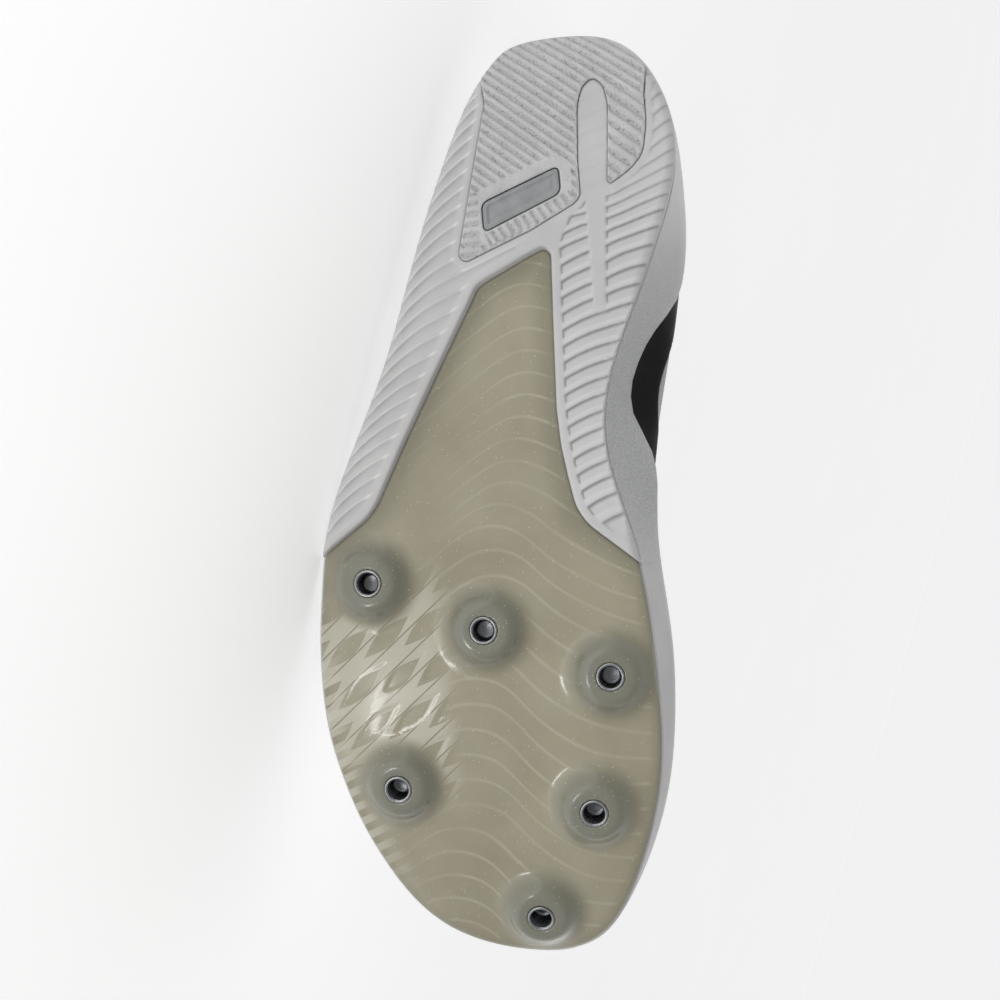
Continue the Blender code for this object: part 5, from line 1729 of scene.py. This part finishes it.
def make_overlays():
    black = film_look("black_film", tone(9, 9, 10), tone(15, 15, 16), 0.62, gloss=0.2)
    pale = film_look("pale_film", tone(192, 192, 194), tone(206, 206, 208), 0.5)
    thread = textile_look("thread", tone(206, 206, 208), tone(226, 226, 228), 0.5, 0.2)
    steel = steel_look()
    # plain black panel over the medial arch, along the foam's rim
    xs = np.linspace(58.0, 131.0, 74)
    t = (xs - 94.5) / 36.5
    tall = 14.5 * np.sqrt(np.maximum(0.0, 1 - t**2)) ** 0.7
    rim_z = rim["medial"](xs)
    low = share_at(-1, xs, rim_z - 2.5)
    high = share_at(-1, xs, rim_z - 1.5 + tall)
    patch("arch_panel", -1, xs, low, high, 0.55, black, across=18, taper=0.8)
    # heel counter and toe guard
    for side, label in ((1, "lateral"), (-1, "medial")):
        xs = HEEL_X + 0.02 + (np.linspace(0, 1, 50) ** 2) * 47.0
        low = share_at(side, xs, rim[label](xs) - 3)
        tall = 30.0 * np.sqrt(np.maximum(0.0, 1 - ((xs - HEEL_X) / 47.2) ** 2)) ** 0.9
        high = share_at(side, xs, rim[label](xs) - 3 + tall)
        patch(f"heel_counter_{label}", side, xs, low, high, 0.45, pale, across=26, taper=0.9)
        xs = 232.0 + (1 - (1 - np.linspace(0, 1, 50)) ** 2) * 44.9
        low = share_at(side, xs, np.minimum(rim[label](xs) - 2.5, 30.5))
        tall = 4.0 + 11.0 * step(232, 262, xs)
        high = share_at(side, xs, np.minimum(rim[label](xs) - 2.5, 30.5) + tall * step(231.5, 240, xs))
        patch(f"toe_guard_{label}", side, xs, low, high, 0.4, pale, across=16, taper=0.9)
        # eyestay along the throat
        xs = np.concatenate([np.linspace(97.5, 190, 70), 190 + 18.6 * np.sin(np.linspace(0, 1, 24)[1:] * pi / 2)])
        girth = np.interp(xs, XS, GIRTH[side])
        wide = 14.0 + 1.5 * np.sin((xs - 97) / 111 * pi) - 3.0 * step(190, 208, xs)
        patch(f"eyestay_{label}", side, xs, 1 - wide / girth, 1 - 0.3 / girth, 0.55, pale, across=16, taper=0.8)
    # the front of the throat, where the two eyestays join
    for side, label in ((1, "lateral"), (-1, "medial")):
        xs = np.linspace(208.0, 219.0, 18)
        girth = np.interp(xs, XS, GIRTH[side])
        wide = 12.5 * np.sqrt(np.maximum(0.0, 1 - ((xs - 208.0) / 11.2) ** 2)) + 0.02
        patch(f"throat_front_{label}", side, xs, 1 - wide / girth, np.ones(len(xs)), 0.55, pale, across=14, taper=0.8)
    rows_made = []
    for side in (1, -1):
        xs = np.linspace(100, 206, 120)
        girth = np.interp(xs, XS, GIRTH[side])
        for inset in (1.6, 12.2):
            rows_made.append(wall_path(side, xs, 1 - inset / girth, 0.55))
        label = "lateral" if side > 0 else "medial"
        xs = HEEL_X + (np.linspace(0, 1, 60) ** 2) * 46.0
        tall = 30.0 * np.sqrt(np.maximum(0.0, 1 - ((xs - HEEL_X) / 47.2) ** 2)) ** 0.9
        v = share_at(side, xs, rim[label](xs) - 4.6 + tall)
        rows_made.append(wall_path(side, xs[:-8], v[:-8], 0.45))
        # the collar's seam below its padding
        xs = np.linspace(HEEL_X + 0.5, 94, 90)
        line = np.array([min(float(collar["lat_z" if side > 0 else "med_z"](a)), 89.0) for a in xs])
        v = share_at(side, xs, line - 21.0)
        rows_made.append(wall_path(side, xs, v, 0.12))
    stitches("upper_stitches", rows_made, thread)
    # eyelets: a rolled steel rim round each hole
    rings, ring_faces, holes, hole_faces = [], [], [], []
    for i in range(EYELETS):
        x = eyelet_x(i)
        for side in (1, -1):
            girth = float(np.interp(x, XS, GIRTH[side]))
            p, n = on_wall(side, np.array([x]), np.array([1 - EYELET_IN / girth]), 0.5)
            p, n = p[0], n[0]
            along = np.array([1.0, 0, 0]) - n * n[0]
            along /= np.linalg.norm(along)
            across = np.cross(n, along)
            base = len(rings)
            for k in range(28):
                a = 2 * pi * k / 28
                radial = along * cos(a) + across * sin(a)
                for r, h in ((3.15, -0.1), (3.0, 0.32), (2.7, 0.5), (2.35, 0.42), (2.1, 0.1), (2.0, -0.5), (1.95, -1.4)):
                    rings.append(p + radial * r + n * h)
            ring_faces += grid_faces(28, 7, closed_a=True, first=base, flip=True).tolist()
            # a dark disc just inside each hole: painted shade
            base = len(holes)
            for k in range(20):
                a = 2 * pi * k / 20
                holes.append(p + (along * cos(a) + across * sin(a)) * 2.02 - n * 0.28)
            hole_faces.append([base + k for k in range(20)])
    # the rims darken into the hole: painted shade
    ob = piece("eyelet_rims", np.array(rings), ring_faces, steel, marks={"deep": np.tile([0, 0, 0, 0, 0.3, 0.8, 1.0], 28 * EYELETS * 2)})
    ob = piece("eyelet_hole_shade", np.array(holes), hole_faces, film_look("hole_painted_shade", tone(26, 26, 28), tone(34, 34, 36), 0.8))


# ---------------------------------------------------------------- tongue, insole, laces
TONGUE_SHAPE = """
x     half  radius lift
76    17.0  17.0   0.0
84    17.5  16.6   0.0
92    17.5  16.2   0.0
98    18.0  16.8   0.0
106   19.0  19.0   0.0
118   20.0  23.0   0.0
150   19.0  25.0   0.0
180   16.0  25.0   0.0
198   13.0  25.0   0.0
214   10.0  25.0   0.0
"""
tongue_shape = columns(TONGUE_SHAPE)
EYELETS = 6
EYELET_BACK, EYELET_FRONT, EYELET_IN = 106.0, 184.0, 6.5


def eyelet_x(i):
    return EYELET_FRONT + (EYELET_BACK - EYELET_FRONT) * i / (EYELETS - 1)


def make_tongue(material):
    rings, uv = [], []
    xs = np.concatenate([76 + 6 * (1 - np.cos(np.linspace(0, 1, 10) * pi / 2)), np.linspace(82, 214, 90)[1:]])
    across = 30
    seams = []
    for x in xs:
        half, radius = float(tongue_shape["half"](x)), float(tongue_shape["radius"](x))
        y0, z0 = float(ridge["y"](x)), float(ridge["z"](x))
        slope = float(ridge["z"](x + 2) - ridge["z"](x - 2)) / 4
        end = sqrt(max(0.0, 1 - ((82 - x) / 6.0) ** 2)) if x < 82 else 1.0
        half *= 0.74 + 0.26 * end
        tilt = 1 / sqrt(1 + slope * slope)
        ring = []
        for order in (1, -1):
            for k in range(across + 1):
                c = (2 * k / across - 1) * order
                d = half * c
                a = d / radius
                out = np.array([-slope * tilt * cos(a), sin(a), tilt * cos(a)])
                top = WALL + 0.75 + 0.8 * float(step(8.5, 11.5, abs(d))) * float(step(92, 100, x))
                bulge = TONGUE * (1 - 0.62 * abs(c) ** 3.5)
                # a bound edge, sewn down
                seam = float(np.exp(-(((abs(d) - (half - 3.6)) / 0.55) ** 2)))
                centre = top + TONGUE / 2
                depth = centre - order * (bulge / 2) * (0.18 + 0.82 * end) + (0.35 * seam if order > 0 else -0.2 * seam)
                ring.append(np.array([x, y0 + radius * sin(a), z0 - radius * (1 - cos(a))]) - out * depth)
                uv.append((x, d * order))
        rings.append(ring)
    n = len(rings[0])
    points = np.array(rings).reshape(-1, 3)
    faces = grid_faces(len(rings), n, closed_b=True).tolist()
    faces.append(list(range(n)))
    faces.append([(len(rings) - 1) * n + k for k in range(n)][::-1])
    ob = piece("tongue_pad", points, faces, material, maps={"cloth": np.array(uv)})
    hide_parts("tongue")
    # stitches along the bound edge
    paths = []
    for side in (1, -1):
        path, normal = [], []
        for x in np.linspace(80, 200, 70):
            half, radius = float(tongue_shape["half"](x)) - 3.6, float(tongue_shape["radius"](x))
            a = side * half / radius
            slope = float(ridge["z"](x + 2) - ridge["z"](x - 2)) / 4
            tilt = 1 / sqrt(1 + slope * slope)
            out = np.array([-slope * tilt * cos(a), sin(a), tilt * cos(a)])
            top = WALL + 0.75 + 0.8 * float(step(8.5, 11.5, half)) * float(step(92, 100, x)) + 0.62 * TONGUE / 2 * (half / (half + 3.6)) ** 3.5 + 0.3
            path.append(np.array([x, float(ridge["y"](x)) + radius * sin(a), float(ridge["z"](x)) - radius * (1 - cos(a))]) - out * top)
            normal.append(out)
        paths.append((np.array(path), np.array(normal)))
    stitches("tongue_stitches", paths, textile_look("tongue_thread", tone(196, 196, 199), tone(222, 222, 224), 0.5, 0.2), radius=0.25)
    return ob


def insole_line():
    line = []
    for side in (1, -1):
        xs = XS[::2] if side > 0 else XS[::-1][::2]
        for x in xs:
            y, z = half_section(float(x), side)[0]
            line.append((float(x + heel_curve(float(x), z)), float(y) + 2.0 * waist(float(x), side)))
    kept = [p for i, p in enumerate(line) if (Vector(p) - Vector(line[i - 1])).length > 2.0]
    return even(shrink(kept, WALL + 0.9), 1.2)


def make_insole(material):
    outline = relaxed(insole_line(), 2)
    net = honeycomb((2, -52), (278, 60), 2.2)
    net = net[inside(net, outline)]
    far, _ = nearest(net, outline)
    net = net[far > 2.2]
    verts, faces = filled(outline, np.vstack([net, shrunk(outline, 0.5), shrunk(outline, 1.2), shrunk(outline, 2.0)]))
    far, _ = nearest(verts, outline)
    bed = level["bed"](np.clip(verts[:, 0], 0, 277))
    cup = 1.2 * step(14, 2, far) * step(120, 70, verts[:, 0]) + 0.5 * step(9, 1, far)
    u = np.clip(1 - far / 1.6, 0, 1)
    top = bed + INSOLE + cup - 1.2 * (1 - np.sqrt(np.maximum(0.0, 1 - u * u)))
    count = len(verts)
    skirt = np.hstack([outline, (level["bed"](np.clip(outline[:, 0], 0, 277)) - 0.1)[:, None]])
    top_ring = np.hstack([outline, (level["bed"](np.clip(outline[:, 0], 0, 277)) + INSOLE - 0.7)[:, None]])
    points = np.vstack([np.stack([verts[:, 0], verts[:, 1], top], 1), top_ring, skirt])
    all_faces = faces.tolist() + grid_faces(2, len(outline), closed_b=True, first=count, flip=True).tolist()
    ob = piece("insole_board", points, all_faces, material, maps={"cloth": points[:, :2]}, weld=0.02)
    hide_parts("insole")
    return ob


def on_instep(x, across, lift):
    """A point over the eyestays or the tongue: across from the ridge (+ lateral), lifted off the surface."""
    side = 1 if across >= 0 else -1
    w = throat(x)
    cap = np.array([(w * k / 4, -((w * k / 4) ** 2) / (2 * CAP_RADIUS)) for k in range(5)])
    y0, z0 = float(ridge["y"](x)), float(ridge["z"](x))
    wall = half_section(x, side, 4, 24)[::-1]
    wall = np.array([(side * (p[0] - y0), p[1] - z0) for p in wall])
    line = np.vstack([cap[:-1], wall])
    run = np.concatenate([[0], np.cumsum(np.hypot(*np.diff(line, axis=0).T))])
    a = abs(across)
    y, z = np.interp(a, run, line[:, 0]), np.interp(a, run, line[:, 1])
    y1, z1 = np.interp(a + 1.5, run, line[:, 0]), np.interp(a + 1.5, run, line[:, 1])
    if a < 1.5:
        ny, nz = y / CAP_RADIUS, 1.0
    else:
        ym, zm = np.interp(a - 1.5, run, line[:, 0]), np.interp(a - 1.5, run, line[:, 1])
        ny, nz = -(z1 - zm), (y1 - ym)
    k = sqrt(ny * ny + nz * nz)
    slope = float(ridge["z"](x + 2) - ridge["z"](x - 2)) / 4
    out = np.array([-slope * nz / k, side * ny / k, nz / k])
    out /= np.linalg.norm(out)
    return np.array([x, y0 + side * y, z0 + z]) + out * lift, out


def lace(path):
    """A flat woven lace through (x, across, lift, width share) stations: grid of points and its map."""
    path = np.array(path, float)
    run = np.concatenate([[0], np.cumsum(np.hypot(np.diff(path[:, 0]), np.diff(path[:, 1])) + np.abs(np.diff(path[:, 2])) * 0.6 + 1e-6)])
    at = np.linspace(0, run[-1], max(24, int(run[-1] / 0.55)))
    dense = np.stack([np.interp(at, run, path[:, k]) for k in range(4)], 1)
    for _ in range(10):
        dense[1:-1, 2:] = dense[1:-1, 2:] * 0.5 + (dense[2:, 2:] + dense[:-2, 2:]) * 0.25
    spots = [on_instep(float(x), float(c), float(l)) for x, c, l, _ in dense]
    p, out = np.array([s[0] for s in spots]), np.array([s[1] for s in spots])
    along = np.gradient(p, axis=0)
    along /= np.sqrt((along**2).sum(1, keepdims=True))
    flat = np.gradient(np.array([on_instep(float(x), float(c), 0.0)[0] for x, c, _, _ in dense]), axis=0)
    flat /= np.maximum(np.sqrt((flat**2).sum(1, keepdims=True)), 1e-9)
    wide = np.cross(flat, out)
    wide /= np.sqrt((wide**2).sum(1, keepdims=True))
    up = np.cross(wide, along)
    up /= np.sqrt((up**2).sum(1, keepdims=True))
    rings, uv = [], []
    shape = [(cos(a), sin(a)) for a in np.linspace(0, 2 * pi, 17)[:-1]]
    length = np.concatenate([[0], np.cumsum(np.sqrt((np.diff(p, axis=0) ** 2).sum(1)))])
    for i in range(len(p)):
        share = dense[i, 3]
        w, h = LACE_WIDTH / 2 * share, LACE_THICK / 2 * (1 + (1 - share) * 0.8)
        for a, b in shape:
            ca = abs(a) ** 0.6 * (1 if a > 0 else -1)
            cb = abs(b) ** 0.75 * (1 if b > 0 else -1)
            rings.append(p[i] + wide[i] * w * ca + up[i] * h * cb)
            uv.append((length[i], a * w))
    faces = grid_faces(len(p), 16, closed_b=True).tolist()
    faces += [list(range(16)), [(len(p) - 1) * 16 + k for k in range(16)][::-1]]
    return np.array(rings), faces, np.array(uv)


def lace_look():
    m = Nodes("lace_weave", tone(222, 222, 223), 0.88, Sheen_Weight=0.2)
    uv = m.node("ShaderNodeUVMap", uv_map="cloth").outputs["UV"]
    part = m.node("ShaderNodeSeparateXYZ")
    m.give(part.inputs[0], uv)
    u, v = part.outputs[0], part.outputs[1]
    a = m.sum("SINE", m.sum("MULTIPLY", m.sum("ADD", u, m.sum("MULTIPLY", m.sum("ABSOLUTE", v), 1.1)), 2 * pi / 0.95))
    b = m.sum("SINE", m.sum("MULTIPLY", v, 2 * pi / 0.75))
    base = m.mix(m.span(a, -1, 0.2, 1.0, 0.0), tone(226, 226, 227), tone(186, 187, 190))
    base = m.mix(m.span(m.noise(200, 2, 0.5), 0.4, 0.7, 0, 0.25), base, tone(206, 205, 204))
    m.colour(base)
    m.rough(m.span(m.noise(900, 2, 0.5), 0.3, 0.7, 0.82, 0.94))
    m.normal(m.bump(m.sum("ADD", a, m.sum("MULTIPLY", b, 0.5)), 0.5, 0.00025))
    return m.material


def make_laces(material):
    spots = [(eyelet_x(i), throat(eyelet_x(i)) + EYELET_IN, throat(eyelet_x(i))) for i in range(EYELETS)]
    blocks, faces, uvs, first = [], [], [], 0
    paths = []
    x, c, w = spots[0]
    top = 1.35
    paths.append([(x, -c, -1.2, 0.5), (x, -c + 0.9, 0.9, 0.55), (x, -c + 3.5, top, 0.95), (x, 0, 1.0, 1.0), (x, c - 3.5, top, 0.95), (x, c - 0.9, 0.9, 0.55), (x, c, -1.2, 0.5)])
    for i in range(EYELETS - 1):
        for side in (1, -1):
            (x0, c0, w0), (x1, c1, w1) = spots[i], spots[i + 1]
            cross = 0.95 if side > 0 else 2.35
            mid = ((x0 + x1) / 2, 0.0, cross, 1.0)

            def along(c, lift, share):
                # the place on the straight run at c across
                t = (c0 - c) / (c0 + c1)
                return (x0 + (x1 - x0) * t, side * c, lift, share)

            if i == 0:
                start = [along(c0, -2.7, 0.8), along(w0 + 1.5, -2.7, 0.95), along(w0 - 2.5, -1.9, 1.0)]
            else:
                start = [along(c0, -1.2, 0.5), along(c0 - 0.9, 0.9, 0.55), along(c0 - 3.5, top, 0.95), along(w0 - 1.0, top - 0.1, 1.0)]
            if i == EYELETS - 2:
                end = [along(-(w1 - 1.0), top - 0.1, 1.0), along(-(c1 - 3.5), top, 0.95), along(-(c1 - 0.9), 0.9, 0.55), along(-c1, -1.2, 0.5)]
            else:
                end = [along(-(w1 - 2.5), -1.9, 1.0), along(-(w1 + 1.5), -2.7, 0.95), along(-c1, -2.7, 0.8)]
            low_mid = cross if i > 0 else cross - 0.6
            paths.append(start + [along(3.2, low_mid, 1.0), (mid[0], 0.0, low_mid, 1.0), along(-3.2, low_mid, 1.0)] + end)
    for path in paths:
        p, f, uv = lace(path)
        blocks.append(p)
        faces += [[k + first for k in face] for face in f]
        uvs.append(uv)
        first += len(p)
    ob = piece("laces_woven", np.vstack(blocks), faces, material, maps={"cloth": np.vstack(uvs)})
    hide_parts("laces")
    return ob


cloth = cloth_look()
make_upper(cloth, textile_look("lining_cloth", tone(176, 177, 181), tone(196, 197, 200), 1.1, 0.5))
make_overlays()
make_tongue(textile_look("tongue_cloth", tone(200, 201, 204), tone(216, 216, 218), 1.3, 0.6))
make_insole(textile_look("insole_cloth", tone(96, 98, 102), tone(120, 122, 126), 0.7, 0.4))
make_laces(lace_look())

# ---------------------------------------------------------------- floor, light, camera
scene = bpy.context.scene
scene.view_settings.view_transform = "Standard"


def make_floor():
    """A plain pale floor."""
    profile = [(-8.0, 0.0), (-2.0, 0.0), (2.0, 0.0), (8.0, 0.0)]
    xs = np.linspace(-8.0, 8.0, 9)
    verts = [(x, y, z - 0.0002) for y, z in profile for x in xs]
    mesh = bpy.data.meshes.new("floor")
    mesh.from_pydata(verts, [], grid_faces(len(profile), len(xs), flip=True).tolist())
    mesh.shade_smooth()
    m = Nodes("floor", tone(248, 248, 248), 0.8, Emission_Color=(1, 1, 1, 1), Emission_Strength=0.36)
    m.colour(m.mix(m.span(m.noise(6, 3, 0.5), 0.3, 0.7), tone(247, 247, 247), tone(250, 250, 250)))
    m.normal(m.bump(m.noise(900, 2, 0.5), 0.04, 0.0001))
    mesh.materials.append(m.material)
    ob = bpy.data.objects.new("floor", mesh)
    scene.collection.objects.link(ob)


def lamp(name, place, target, size, power, colour=(1, 1, 1)):
    light = bpy.data.lights.new(name, "AREA")
    light.shape = "RECTANGLE"
    light.size, light.size_y = size
    light.energy = power
    light.color = colour
    ob = bpy.data.objects.new(name, light)
    scene.collection.objects.link(ob)
    ob.location = place
    ob.rotation_euler = (Vector(target) - Vector(place)).to_track_quat("-Z", "Z").to_euler()
    return ob


make_floor()
# a bright studio behind the shoe, a darker one in front; the backdrop itself stays white
world_light = bpy.data.worlds.new("studio")
scene.world = world_light
world_light.use_nodes = True
tree = world_light.node_tree
background = tree.nodes["Background"]
background.inputs[0].default_value = (1.0, 1.0, 1.0, 1)
way = tree.nodes.new("ShaderNodeSeparateXYZ")
tree.links.new(tree.nodes.new("ShaderNodeTexCoord").outputs["Generated"], way.inputs[0])
turned = tree.nodes.new("ShaderNodeMapRange")
turned.interpolation_type = "SMOOTHSTEP"
tree.links.new(way.outputs["Y"], turned.inputs["Value"])
for key, number in (("From Min", -0.35), ("From Max", 0.45), ("To Min", 0.38), ("To Max", 1.2)):
    turned.inputs[key].default_value = number
# and dimmer from above, where the light of the pale floor doesn't reach
high = tree.nodes.new("ShaderNodeMapRange")
tree.links.new(way.outputs["Z"], high.inputs["Value"])
for key, number in (("From Min", 0.0), ("From Max", 0.8), ("To Min", 1.12), ("To Max", 0.56)):
    high.inputs[key].default_value = number
both = tree.nodes.new("ShaderNodeMath")
both.operation = "MULTIPLY"
tree.links.new(turned.outputs["Result"], both.inputs[0])
tree.links.new(high.outputs["Result"], both.inputs[1])
seen = tree.nodes.new("ShaderNodeLightPath")
strength = tree.nodes.new("ShaderNodeMix")
tree.links.new(seen.outputs["Is Camera Ray"], strength.inputs[0])
tree.links.new(both.outputs[0], strength.inputs[2])
strength.inputs[3].default_value = 0.885
tree.links.new(strength.outputs[0], background.inputs[1])
fill = lamp("fill", (0.0, -0.62, 0.16), (0.0, -0.04, 0.04), (0.7, 0.24), 1.35)
fill.visible_glossy = False
fill.visible_camera = False
lamp("strip", (0.40, -0.9, 0.03), (0.05, 0, 0.04), (0.2, 0.055), 0.42)

cam = bpy.data.cameras.new("camera")
camera = bpy.data.objects.new("camera", cam)
scene.collection.objects.link(camera)
scene.camera = camera
cam.sensor_fit = "HORIZONTAL"
cam.angle = radians(46.2)
cam.clip_start = 0.01
eye = Vector(world((139.0, -50.8, -340.0))[0])
# the photograph frames a pair; the view is turned to the one shoe, from the same spot
aim = Vector(world((139.0, 0.0, 0.0))[0])
up = Vector(world((0.0, 0.0, 0.0))[0]) - Vector(world((100.0, 0.0, 0.0))[0])
forward = (aim - eye).normalized()
right = forward.cross(up).normalized()
turn = Matrix((right, right.cross(forward), -forward)).transposed().to_4x4()
turn.translation = eye
camera.matrix_world = turn
